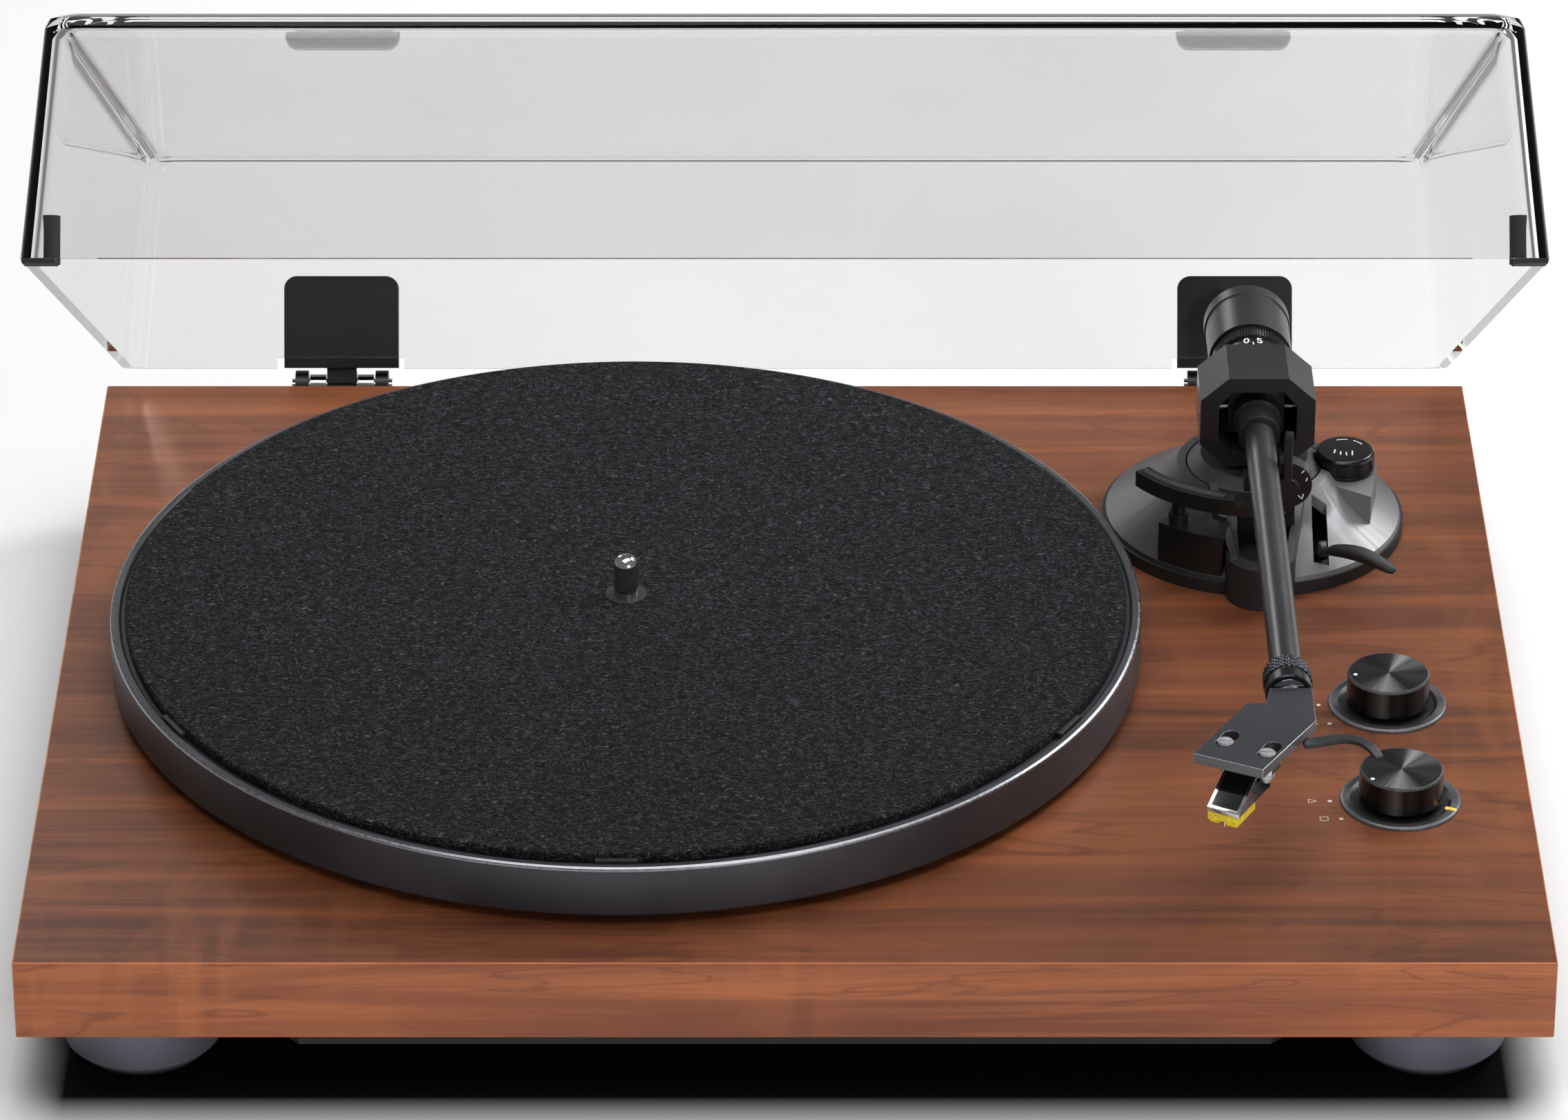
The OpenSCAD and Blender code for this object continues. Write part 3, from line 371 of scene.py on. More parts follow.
# The feet's bluish grey, lighter than their own paint: partly painted light, making up for the
# bounce that the painted shadow under the player takes away.
FOOT_PAINT_LIT = cast("foot_paint", (110, 109, 121), 0.42, Coat_Weight=0.1)
RUBBER = cast("black_rubber", (24, 24, 25), 0.75, grain=900, depth=0.00006)
ZINC = brushed("zinc", (150, 150, 152), 0.35, (300, 300, 900))
BRASS = brushed("brass", (190, 150, 82), 0.3, (200, 200, 1600))
STEEL = brushed("polished_steel", (214, 215, 218), 0.12, (300, 300, 2500))
GOLD = brushed("gold_plate", (214, 168, 84), 0.2, (1400, 200, 1400))
CIRCUIT = circuit("circuit_board")
PLASTIC = cast("black_plastic", (19, 19, 20), 0.36, grain=1100)
PLASTIC_MATT = cast("matt_black_plastic", (20, 20, 21), 0.55, grain=1500, depth=0.00004)
PLATTER_PAINT = cast("platter_paint", (74, 75, 80), 0.42, Metallic=0.65, grain=2600, depth=0.00001)
FELT = felt("felt")
ACRYLIC = acrylic("clear_acrylic")
# Greys by angle about the arm's pillar, painted into the cone's colour: a painted highlight on its
# right front and painted shade on its left front.
CONE_PAINTED_LIGHT_FANS = ((-180, 82), (-152, 58), (-120, 46), (-82, 62), (-55, 112), (-30, 142), (-8, 120),
             (25, 84), (95, 66), (140, 74), (180, 82))
CONE_PAINTED_LIGHT = spun("cone_paint", 0.44, middle("arm_pillar"), CONE_PAINTED_LIGHT_FANS, 0.0, 0.003)
ARM_PAINT = cast("arm_paint", (30, 30, 32), 0.36, Coat_Weight=0.1, grain=2400)
COLLAR_METAL = brushed("collar_metal", (62, 62, 66), 0.3, (900, 300, 900))
SHELL_METAL = cast("shell_metal", (56, 57, 61), 0.42, Metallic=0.5, grain=2600)
SHELL_EDGE = brushed("shell_edge", (190, 191, 194), 0.25, (700, 700, 3000))
BEZEL_EDGE = brushed("bezel_edge", (112, 113, 117), 0.4, (900, 900, 900), 0.5)
WEIGHT_PAINT = cast("weight_paint", (34, 34, 37), 0.34, grain=2400)
DIAL_PAINT = cast("dial_paint", (16, 16, 17), 0.3, grain=2400)
CARTRIDGE_BODY = cast("cartridge_body", (30, 30, 33), 0.14, spread=0.05, Coat_Weight=0.5)
YELLOW = translucent_yellow("stylus_yellow")
AMBER = amber("amber_lens")
SILVER_INK = cast("silver_ink", (196, 184, 178), 0.5)
# A lighter copy again: a painted highlight on the plinth's eased edges.
WOOD_EDGE_HIGHLIGHT = veneer("cherry_veneer_edge_highlight", 0.2, 1.6)
PLATTER_EDGE = brushed("platter_edge", (150, 151, 156), 0.3, (900, 900, 900))
# Dark grey for the well inside the platter's rim and the spindle's foot: painted shade.
PLATTER_SHADED_WELL = cast("platter_shaded_well", (26, 26, 28), 0.5)
HINGE_PAINT = cast("hinge_paint", (24, 24, 27), 0.6, grain=2400, Specular_IOR_Level=0.25)
GLOSS_BLACK = cast("gloss_black", (12, 12, 13), 0.2, spread=0.03, grain=300, depth=0.000001,
                   Coat_Weight=0.2)
STUB_METAL = brushed("stub_metal", (120, 118, 112), 0.3, (700, 700, 700))
KNURL_METAL = brushed("knurl_metal", (88, 88, 92), 0.32, (900, 900, 900))
SHELL_SIDE = brushed("shell_side", (108, 109, 113), 0.36, (700, 700, 3000), 0.7)
CHROME = brushed("chrome", (222, 222, 224), 0.1, (500, 500, 500))
CARTRIDGE_RAMP = cast("cartridge_ramp", (14, 14, 16), 0.08, spread=0.03, depth=0.000002,
                      Coat_Weight=0.6)
KNOB_RIM = brushed("knob_rim", (96, 96, 100), 0.35, (900, 900, 900), 0.6)
SCREW_STEEL = brushed("screw_steel", (196, 197, 200), 0.35, (900, 900, 900), 0.55)
WHITE_INK = cast("white_ink", (236, 236, 234), 0.6)
# Greys by angle about each knob, painted into the colour of the knobs' tops, sides and ring faces
# as painted highlights and reflections.
KNOB_PAINTED_LIGHT_FANS = ((-180, 18), (-150, 26), (-122, 56), (-100, 138), (-82, 112), (-62, 34), (-25, 50),
             (5, 30), (32, 98), (48, 60), (64, 148), (82, 40), (118, 26), (150, 44), (180, 18))
SIDE_PAINTED_LIGHT_FANS = ((-180, 12), (-150, 26), (-128, 16), (-114, 62), (-101, 104), (-90, 34), (-66, 20),
             (-44, 60), (-28, 18), (20, 40), (180, 12))
RING_PAINTED_LIGHT_FANS = ((-180, 92), (-165, 60), (-130, 62), (-95, 84), (-60, 66), (-20, 108), (0, 72),
             (60, 120), (110, 60), (160, 70), (180, 92))
SPEED_TOP = spun("speed_knob_top", 0.38, SPEED, KNOB_PAINTED_LIGHT_FANS)
START_TOP = spun("start_knob_top", 0.38, START, KNOB_PAINTED_LIGHT_FANS)
SPEED_SIDE = spun("speed_knob_side", 0.25, SPEED, SIDE_PAINTED_LIGHT_FANS, 0.0, 0.001)
START_SIDE = spun("start_knob_side", 0.25, START, SIDE_PAINTED_LIGHT_FANS, 0.0, 0.001)
SPEED_RING = spun("speed_ring_face", 0.42, SPEED, RING_PAINTED_LIGHT_FANS)
START_RING = spun("start_ring_face", 0.42, START, RING_PAINTED_LIGHT_FANS)


# ---- Ways of making pieces ----

def show(name, bm, body, materials, replaced=(), smooth=30):
    """Makes a mesh into a piece that rides on a body, with one finish or several. Edges sharper
    than smooth degrees stay crisp."""
    mesh = bpy.data.meshes.new(name)
    bm.to_mesh(mesh)
    bm.free()
    piece = bpy.data.objects.new(name, mesh)
    bpy.context.scene.collection.objects.link(piece)
    for material in materials if isinstance(materials, tuple) else (materials,):
        mesh.materials.append(material)
    mesh.shade_smooth()
    mesh.set_sharp_from_angle(angle=radians(smooth))
    piece.modifiers.new("normals", "WEIGHTED_NORMAL").keep_sharp = True
    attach(piece, body)
    if replaced:
        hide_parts(*replaced)
    return piece


def shown_for(node, name, bm, materials, smooth=30):
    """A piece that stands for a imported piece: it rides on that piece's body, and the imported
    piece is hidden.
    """
    return show(name, bm, body_of(node), materials, (node,), smooth)


def body_of(node):
    """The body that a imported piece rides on."""
    return frame["nodes"][node]["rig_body"]


def merged(node):
    """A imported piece's mesh made whole, with its flat faces as single faces."""
    bm = bmesh.new()
    bm.from_mesh(frame["nodes"][node].data)
    weld, flat = 2e-6, radians(0.6)
    bmesh.ops.remove_doubles(bm, verts=bm.verts, dist=weld)
    bmesh.ops.dissolve_limit(bm, angle_limit=flat, verts=bm.verts, edges=bm.edges)
    for face in bm.faces:
        face.material_index = 0
    return bm


def crisp(bm, angle):
    """The edges where faces meet at more than an angle in degrees."""
    return [edge for edge in bm.edges
            if len(edge.link_faces) == 2 and edge.calc_face_angle(0) > radians(angle)]


def bevelled(bm, width, segments=2, angle=32, material=-1, edges=None):
    """Rounds a mesh's sharp edges, or the edges given, off by a width in millimetres."""
    bmesh.ops.bevel(bm, geom=edges or crisp(bm, angle), offset=width * MM, offset_type="OFFSET",
                    segments=segments, profile=0.5, affect="EDGES", material=material,
                    clamp_overlap=True)
    return bm


def rounded(node, name, material, width, segments=2, angle=32):
    """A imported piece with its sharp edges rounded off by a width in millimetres."""
    return shown_for(node, name, bevelled(merged(node), width, segments, angle), material)


def joined(*parts):
    """Several meshes as one."""
    whole = bmesh.new()
    for part in parts:
        mesh = bpy.data.meshes.new("part")
        part.to_mesh(mesh)
        part.free()
        whole.from_mesh(mesh)
        bpy.data.meshes.remove(mesh)
    return whole


def inked(bm, index):
    """Gives every face of a mesh one of its piece's materials."""
    for face in bm.faces:
        face.material_index = index
    return bm


def moved(bm, place, turn=None):
    """Turns a mesh and then moves it to a place in millimetres."""
    matrix = Matrix.Translation(Vector(place) * MM) @ (turn or Matrix.Identity(4))
    bmesh.ops.transform(bm, matrix=matrix, verts=bm.verts)
    return bm


def along_y(bm, y):
    """Lays a mesh made about Z along the arm's line, its start at y in millimetres."""
    return moved(bm, (ARM_X, y, ARM_Z), Matrix.Rotation(-pi / 2, 4, "X"))


def raised(bm, faces, height):
    """Extrudes faces up by a height in millimetres."""
    made = bmesh.ops.extrude_face_region(bm, geom=faces)
    bmesh.ops.translate(bm, verts=[v for v in made["geom"] if isinstance(v, bmesh.types.BMVert)],
                        vec=(0, 0, height * MM))
    bmesh.ops.recalc_face_normals(bm, faces=bm.faces)
    return bm


def turned(profile, steps=128):
    """A solid turned about Z from radii and heights in millimetres."""
    bm = bmesh.new()
    verts = [bm.verts.new((reach * MM, 0, height * MM)) for reach, height in profile]
    edges = [bm.edges.new(pair) for pair in zip(verts, verts[1:])]
    bmesh.ops.spin(bm, geom=verts + edges, axis=(0, 0, 1), cent=(0, 0, 0), angle=2 * pi,
                   steps=steps, use_merge=True)
    bmesh.ops.remove_doubles(bm, verts=bm.verts, dist=1e-7)
    bmesh.ops.recalc_face_normals(bm, faces=bm.faces)
    return bm


def ribbed(radius, low, high, ribs, depth):
    """A ring of fine ridges along Z, in millimetres."""
    bm = bmesh.new()
    bmesh.ops.create_circle(bm, cap_ends=True, segments=2 * ribs, radius=radius * MM)
    for number, vert in enumerate(bm.verts):
        if number % 2:
            vert.co *= 1 - depth / radius
    raised(bm, bm.faces[:], high - low)
    bmesh.ops.translate(bm, verts=bm.verts, vec=(0, 0, low * MM))
    return bm


def disc(radius, low, high, segments=32):
    """A short round bar about Z, in millimetres."""
    bm = bmesh.new()
    bmesh.ops.create_circle(bm, cap_ends=True, segments=segments, radius=radius * MM)
    raised(bm, bm.faces[:], high - low)
    bmesh.ops.translate(bm, verts=bm.verts, vec=(0, 0, low * MM))
    return bm


def prism(outline, low, high):
    """A solid with an outline in millimetres, from low to high along Z."""
    bm = bmesh.new()
    face = bm.faces.new([bm.verts.new((x * MM, y * MM, low * MM)) for x, y in outline])
    return raised(bm, [face], high - low)


def capsule(start, end, width, height):
    """A flat mark with round ends from start to end, in millimetres."""
    run = Vector(end) - Vector(start)
    heading = run.angle_signed(Vector((1, 0))) if run.length > 1e-6 else 0
    half = width / 2
    turns = [heading + pi / 2 + pi * step / 6 for step in range(7)]
    ends = [(start[0] + half * cos(turn), start[1] + half * sin(turn)) for turn in turns]
    ends += [(end[0] - half * cos(turn), end[1] - half * sin(turn)) for turn in turns]
    return prism(ends, 0, height)


def marks(lines, width):
    """Flat marks along lines of points, in millimetres."""
    return joined(*(capsule(start, end, width, INK_HEIGHT)
                    for line in lines for start, end in zip(line, line[1:])))


def loft(path, halves, segments=16, turn=0.0):
    """A bar through points, with half widths and half heights at each, in millimetres."""
    bm = bmesh.new()
    rings = []
    for number, (point, (across, up)) in enumerate(zip(path, halves)):
        run = Vector(path[min(number + 1, len(path) - 1)]) - Vector(path[max(number - 1, 0)])
        facing = run.to_track_quat("X", "Z").to_matrix()
        ends = number in (0, len(path) - 1)
        verts = bmesh.ops.create_circle(bm, cap_ends=ends, segments=segments, radius=1)["verts"]
        spin = Matrix.Rotation(turn, 3, "Z")
        for vert in verts:
            flat = spin @ vert.co
            vert.co = (facing @ Vector((0, flat.x * across, flat.y * up)) + Vector(point)) * MM
        rings.append({edge for vert in verts for edge in vert.link_edges})
    for first, second in zip(rings, rings[1:]):
        bmesh.ops.bridge_loops(bm, edges=list(first | second))
    bmesh.ops.recalc_face_normals(bm, faces=bm.faces)
    return bm


def softened(piece):
    """Smooths a piece by subdivision."""
    piece.modifiers.clear()
    smooth = piece.modifiers.new("smooth", "SUBSURF")
    smooth.levels = smooth.render_levels = 2
    return piece


GLYPHS = {  # Each figure's lines, in a box 1 high.
    "0": (((0.3, 0), (0.05, 0.2), (0.02, 0.5), (0.05, 0.8), (0.3, 1), (0.55, 0.8), (0.58, 0.5),
           (0.55, 0.2), (0.3, 0)),),
    "3": (((0.04, 0.86), (0.3, 1), (0.53, 0.8), (0.45, 0.6), (0.25, 0.54), (0.48, 0.46),
           (0.57, 0.25), (0.3, 0), (0.02, 0.14)),),
    "4": (((0.44, 0), (0.44, 1), (0.0, 0.28), (0.62, 0.28)),),
    "5": (((0.52, 1), (0.1, 1), (0.06, 0.56), (0.32, 0.62), (0.56, 0.44), (0.54, 0.16),
           (0.3, 0), (0.02, 0.12)),),
    ".": (((0.25, 0.02), (0.26, 0.02)),),
}


def figures(text, height, width, wide=1.0):
    """Figures standing on the X axis, centred on it, in millimetres."""
    advance = 0.86 * height * wide
    start = -advance * len(text) / 2 + 0.13 * height * wide
    return marks([[(start + advance * number + x * height * wide, y * height) for x, y in line]
                  for number, figure in enumerate(text) for line in GLYPHS[figure]], width)


def wrapped(bm, radius):
    """Bends flat marks round the Y axis on to a cylinder of a radius in millimetres."""
    for vert in bm.verts:
        angle = vert.co.x / (radius * MM)
        reach = radius * MM + vert.co.z
        vert.co = Vector((reach * sin(angle), vert.co.y, reach * cos(angle)))
    return bm


def knurled(radius, low, high, diamonds, depth):
    """A sleeve about Z covered with small pyramids, in millimetres."""
    pitch = 2 * pi * radius / diamonds
    samples = 7  # Squares of the grid across a pyramid.
    bm = bmesh.new()
    bmesh.ops.create_grid(bm, x_segments=diamonds * samples,
                          y_segments=round((high - low) / pitch * samples * 1.2), size=0.5)
    for vert in bm.verts:
        turn = (vert.co.x + 0.5) * diamonds
        rise = (vert.co.y + 0.5) * (high - low) / pitch
        peak = min(abs((turn + rise) % 1 - 0.5), abs((turn - rise) % 1 - 0.5)) * 2
        reach = (radius - depth + depth * min(1, peak * 1.4)) * MM
        angle = 2 * pi * turn / diamonds
        vert.co = Vector((reach * cos(angle), reach * sin(angle), (low + rise * pitch) * MM))
    bmesh.ops.remove_doubles(bm, verts=bm.verts, dist=1e-6)
    bmesh.ops.recalc_face_normals(bm, faces=bm.faces)
    return bm


def box_of(node):
    """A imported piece's lowest and highest corners in millimetres."""
    low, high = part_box(node)
    return low / MM, high / MM


# ---- Measures of the pieces, in millimetres ----

TOP = box_of("plinth")[1][2]
ARM_X = middle("arm_tube")[0] / MM
ARM_Z = middle("arm_tube")[2] / MM
PIVOT_Y = 78.0
BAR_REACH = 41.9  # From the arm's pivot to the middle of the lift bar.
SCREW_SIDE = 6.35  # Half the distance between the cartridge's screws.
INK_HEIGHT = 0.03
SHELL_TURN = radians(-28.5)
SHELL = Vector((172.25, -126.5, ARM_Z + 3))
AROUND_Z = Matrix.Rotation(SHELL_TURN, 4, "Z")
UPRIGHT = Matrix.Rotation(pi / 2, 4, "X")


def keep(material, *nodes):
    """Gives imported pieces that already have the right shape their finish."""
    for node in nodes:
        mesh = frame["nodes"][node].data
        mesh.materials.clear()
        mesh.materials.append(material)


# ---- Plinth, feet and terminals ----

def plinth_board():
    """The board with its edges eased and its ends and front in their own veneer. The front's veneer
    is a lighter copy as painted light, and the eased edges' is lighter still as a painted
    highlight.
    """
    bm = merged("plinth")
    low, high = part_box("plinth")

    def on_box(vert):
        """How many of the box's six planes a corner lies on."""
        return sum(min(abs(vert.co[axis] - low[axis]), abs(vert.co[axis] - high[axis])) < 1e-5
                   for axis in range(3))

    edges = [edge for edge in crisp(bm, 60) if all(on_box(vert) >= 2 for vert in edge.verts)]
    bevelled(bm, 0.35, material=3, edges=edges)
    bm.normal_update()
    for face in bm.faces:
        if face.material_index != 3:
            ends, front = abs(face.normal.x) > 0.7, abs(face.normal.y) > 0.7
            face.material_index = 2 if ends else 1 if front else 0
    shown_for("plinth", "board", bm, (WOOD, WOOD_FRONT_LIT, WOOD_ENDS, WOOD_EDGE_HIGHLIGHT))


def plinth_marks():
    """Dots beside the knobs with their generic marks."""
    line, dot = 0.32, 1.3
    places = ((199.4, -30.1), (201.9, -40.7), (199.3, -83.7), (201.9, -93.3))
    triangle = [(193.3, -84.8), (193.3, -82.6), (195.6, -83.7), (193.3, -84.8)]
    square = [(196.0, -94.3), (196.0, -92.3), (198.2, -92.3), (198.2, -94.3), (196.0, -94.3)]
    parts = [marks([[(x, y), (x + 0.01, y)] for x, y in places], dot)]
    parts.append(moved(figures("33", 1.9, line, 1.3), (194.2, -31.0, 0)))
    parts.append(moved(figures("45", 1.9, line, 1.3), (196.7, -41.6, 0)))
    parts.append(marks([triangle], line))
    parts.append(marks([square], line))
    bm = moved(joined(*parts), (0, 0, TOP + 0.01))
    show("board_marks", bm, body_of("plinth"), SILVER_INK)


plinth_board()
plinth_marks()
rounded("bottom_cover", "under_board", BOARD, 0.4)
for corner in ("front_left", "front_right", "rear_left", "rear_right"):
    rounded("foot_" + corner, "foot_shell_" + corner, FOOT_PAINT_LIT, 0.8, 3, 14)
rounded("terminal_panel", "back_panel", PLASTIC_MATT, 0.2)
rounded("rca_jacks", "signal_jacks", GOLD, 0.25)


# ---- Platter ----

def platter_ring():
    """The platter with its turned rim and the small tabs between rim and mat; the well inside the
    rim is dark as painted shade.
    """
    outer = size("platter")[0] / MM / 2
    low = box_of("platter")[0][2]
    rim = box_of("platter")[1][2]
    bm = turned([(6, -8), (outer - 11, -8), (outer - 5, -12), (outer - 5, low), (outer - 0.9, low),
                 (outer - 0.25, low + 0.3), (outer, low + 0.9), (outer, rim - 1.0),
                 (outer - 0.3, rim - 0.35), (outer - 0.9, rim), (outer - 2.5, rim),
                 (outer - 2.8, rim - 0.2), (outer - 3.3, -3), (6, -3), (6, -8)], 256)
    for face in bm.faces:
        centre = face.calc_center_median() / MM
        reach = centre.xy.length
        if reach > outer - 0.7 and centre.z > rim - 0.8:
            face.material_index = 1
        elif reach < outer - 2.4:
            face.material_index = 2
    shown_for("platter", "platter_ring", bm, (PLATTER_PAINT, PLATTER_EDGE, PLATTER_SHADED_WELL), 25)
    tabs = []
    reach = outer - 4.6
    for angle in (-90, -150, -30, 30, 90, 150):
        turn = radians(angle)
        tab = bevelled(prism([(-6, 0), (6, 0), (6, 1.7), (-6, 1.7)], -3, -1.2), 0.3)
        tabs.append(moved(tab, (reach * cos(turn), reach * sin(turn), 0),
                          Matrix.Rotation(turn - pi / 2, 4, "Z")))
    show("mat_tabs", joined(*tabs), body_of("platter"), PLASTIC_MATT)


def felt_mat():
    """The mat with a soft edge."""
    reach = size("slip_mat")[0] / MM / 2
    bm = turned([(6, -3), (reach - 0.2, -3), (reach, -2.6), (reach, -0.8), (reach - 0.3, -0.25),
                 (reach - 0.9, 0), (6, 0), (6, -3)], 256)
    shown_for("slip_mat", "felt_mat", bm, FELT)


def polished_spindle():
    """The spindle with a round tip."""
    low = box_of("spindle")[0][2]
    bm = turned([(0, low), (3.5, low), (4, low + 0.5), (4, -16), (6, -16), (6, 0), (3.6, 0),
                 (3.6, 9.4), (3.45, 10.3), (3.0, 11.2), (2.2, 12.0), (1.2, 12.4), (0, 12.5)], 64)
    for face in bm.faces:
        # Its wide foot has the platter well's dark grey of painted shade.
        face.material_index = int(face.calc_center_median().xy.length > 3.7 * MM)
    shown_for("spindle", "polished_spindle", bm, (STEEL, PLATTER_SHADED_WELL), 40)


platter_ring()
felt_mat()
polished_spindle()


# ---- Knobs ----

def turned_knob(node, name, top, side, pointer):
    """A knob with a spun top and sides that carry painted highlights and reflections, a bright
    chamfer and a white pointer dot.
    """
    place = middle(node) / MM
    bm = turned([(0, -13), (3, -13), (3, 1.8), (10.4, 1.8), (10.8, 1.5), (11.4, 1.5), (11.8, 1.9),
                 (11.8, 9.85), (11.35, 10.4), (11.1, 10.5), (0, 10.5)], 160)
    for face in bm.faces:
        centre = face.calc_center_median() / MM
        face.material_index = 1 if centre.z > 10.45 else 2 if centre.z > 9.85 else 0
    moved(bm, (place[0], place[1], TOP))
    dot = moved(inked(disc(0.6, 10.5, 10.53, 20), 3), (pointer[0], pointer[1], TOP))
    shown_for(node, name, joined(bm, dot), (side, top, KNOB_RIM, WHITE_INK), 28)


def ring_plate(node, name, face_metal):
    """The flat ring round a knob, its face with painted highlights and reflections, with its bright
    outer edge and its sunken floor.
    """
    place = middle(node) / MM
    bm = turned([(5.2, 0), (17, 0), (17, 0.5), (16.8, 0.8), (16.4, 1.05), (16.0, 1.1),
                 (14.5, 1.1), (14.2, 1.0), (13.3, 0.3), (5.2, 0.3), (5.2, 0)], 160)
    for face in bm.faces:
        centre = face.calc_center_median() / MM
        if centre.xy.length > 16.1:
            face.material_index = 1
        elif centre.xy.length < 14.2:
            face.material_index = 2
    moved(bm, (place[0], place[1], TOP))
    shown_for(node, name, bm, (face_metal, BEZEL_EDGE, PLASTIC), 20)


def light():
    """The amber light in the lower ring."""
    place = middle("power_led") / MM
    turn = radians(-25)
    reach = Vector((cos(turn), sin(turn))) * 1.1
    lens = bevelled(capsule(-reach, reach, 1.3, 0.5), 0.15)
    shown_for("power_led", "status_light", moved(lens, (place[0], place[1], TOP + 0.72)), AMBER)


turned_knob("speed_knob", "speed_turner", SPEED_TOP, SPEED_SIDE, (209.6, -30.7))
turned_knob("start_knob", "start_turner", START_TOP, START_SIDE, (210.6, -89.0))
ring_plate("speed_bezel", "speed_ring", SPEED_RING)
ring_plate("start_bezel", "start_ring", START_RING)
light()


# ---- Lid and hinges ----

rounded("dust_cover", "clear_lid", ACRYLIC, 0.35, 2, 40)
rounded("lid_bumpers", "lid_corners", RUBBER, 0.8, 3)
for side in ("left", "right"):
    rounded("hinge_plate_" + side, "hinge_leaf_" + side, HINGE_PAINT, 0.7, 3)
    rounded("hinge_base_" + side, "hinge_foot_" + side, PLASTIC, 0.35)


# ---- Tonearm's base ----

def skating_dial():
    """The ribbed dial with a glossy top and small marks."""
    place = middle("anti_skate_dial") / MM
    low = box_of("anti_skate_dial")[1][2] - 6
    core = turned([(0, -10.6), (2, -10.6), (2, 0), (8.9, 0), (8.9, 0.7), (8.6, 0.8), (8.6, 4.6),
                   (8.75, 4.7), (8.75, 5.2), (8.3, 5.75), (7.8, 6.0), (0, 6.0)], 96)
    grip = ribbed(8.9, 0.9, 4.5, 60, 0.35)
    curve = [(5.9 * cos(radians(a)), 5.9 * sin(radians(a))) for a in range(30, 131, 10)]
    lines = [curve[:4], curve[5:6] + curve[5:9], [(-3.4, -2.6), (-3.0, -0.6)],
             [(-1.6, -3.6), (-1.4, -1.8)], [(0.2, -4.0), (0.2, -2.2)], [(1.9, -3.9), (2.1, -1.4)]]
    ink = inked(moved(marks(lines, 0.4), (0, 0, 6.0)), 1)
    bm = moved(joined(core, grip, ink), (place[0], place[1], low))
    shown_for("anti_skate_dial", "skating_dial", bm, (GLOSS_BLACK, WHITE_INK))


def rest_with_marks():
    """The arm rest with the white mark on its hub and a polished ball screw."""
    bm = bevelled(merged("arm_rest"), 0.45)
    face_y = box_of("arm_rest")[0][1]
    arrow = marks([[(3.4, -3.4), (4.6, -4.6), (4.9, -3.0)], [(5.6, 1.5), (5.9, 2.4)],
                   [(4.3, 4.2), (4.9, 4.9)]], 0.35)
    arrow = inked(moved(arrow, (193.5, face_y - 0.02, 12), UPRIGHT), 1)
    ball = bmesh.new()
    bmesh.ops.create_uvsphere(ball, u_segments=24, v_segments=16, radius=1.1 * MM)
    inked(moved(ball, (192.4, face_y - 0.7, 3.2)), 2)
    shown_for("arm_rest", "rest_post", joined(bm, arrow, ball), (PLASTIC, WHITE_INK, GLOSS_BLACK))


def lever_paddle():
    """The metal stub and the smooth black paddle of the arm lift."""
    root = (204.4, 56.6, -16.6)
    pins = loft([root, (204.4, 50, -13.8), (204.4, 44.2, -11.4), (204.9, 42.4, -10.4),
                 (208.4, 38.8, -7.3)], [(1.4, 1.4)] * 5, 16)
    axle = moved(disc(2.8, -4.5, 4.5), (202.4 + 4.5, 56.6, -16.6), Matrix.Rotation(pi / 2, 4, "Y"))
    path = [(206.7, 40.0, -8.3), (207.2, 39.6, -8.0), (210.2, 37.9, -7.1), (214.6, 35.2, -6.5),
            (218.6, 32.6, -6.9), (222.4, 30.2, -8.1), (224.6, 28.8, -8.9), (225.0, 28.5, -9.1)]
    paddle = loft(path, [(1.3, 1.2), (1.9, 1.7), (2.2, 2.1), (2.6, 2.4), (2.6, 2.1), (2.4, 1.6),
                         (1.6, 1.1), (0.8, 0.6)])
    bm = joined(pins, axle, inked(paddle, 1))
    softened(shown_for("cue_lever", "lever", bm, (STUB_METAL, PLASTIC_MATT), 50))


def bar_with_strip():
    """The lift bar with a raised rubber strip along it."""
    bm = bevelled(merged("lift_bar"), 0.6)
    top = box_of("lift_bar")[1][2]
    path = [(ARM_X + BAR_REACH * cos(radians(a)), PIVOT_Y + BAR_REACH * sin(radians(a)), top + 0.1)
            for a in range(216, 258, 3)]
    strip = loft(path, [(1.2, 0.6)] * len(path), 12)
    shown_for("lift_bar", "lifting_bar", joined(bm, inked(strip, 1)), (PLASTIC, RUBBER), 40)


rounded("arm_base_disc", "base_disc", PLASTIC_MATT, 0.5)
# The cone's colour holds painted highlights and shade.
rounded("arm_base_cone", "base_cone", CONE_PAINTED_LIGHT, 0.3)
rounded("arm_pillar", "pillar", PLASTIC_MATT, 0.4)
rounded("lift_guide", "guide_block", PLASTIC, 0.5)
rounded("arm_clip", "clip", PLASTIC, 0.4)
skating_dial()
rest_with_marks()
lever_paddle()
bar_with_strip()


# ---- Tonearm ----

def locking_ring():
    """The knurled collar that locks the headshell."""
    low, high = box_of("locking_collar")
    long = high[1] - low[1]
    body = turned([(4.6, 0.1), (5.6, 0), (6.3, 0.1), (6.6, 0.5), (6.6, 4.8), (6.3, 5.2),
                   (6.45, 5.4), (6.45, long - 1.2), (5.8, long - 1.0), (5.7, long - 0.2),
                   (5.3, long), (4.6, long), (4.6, 0.1)], 96)
    grip = knurled(6.9, 5.4, long - 1.2, 26, 0.42)
    shown_for("locking_collar", "locking_ring", along_y(joined(body, inked(grip, 1)), low[1]),
              (COLLAR_METAL, KNURL_METAL), 20)


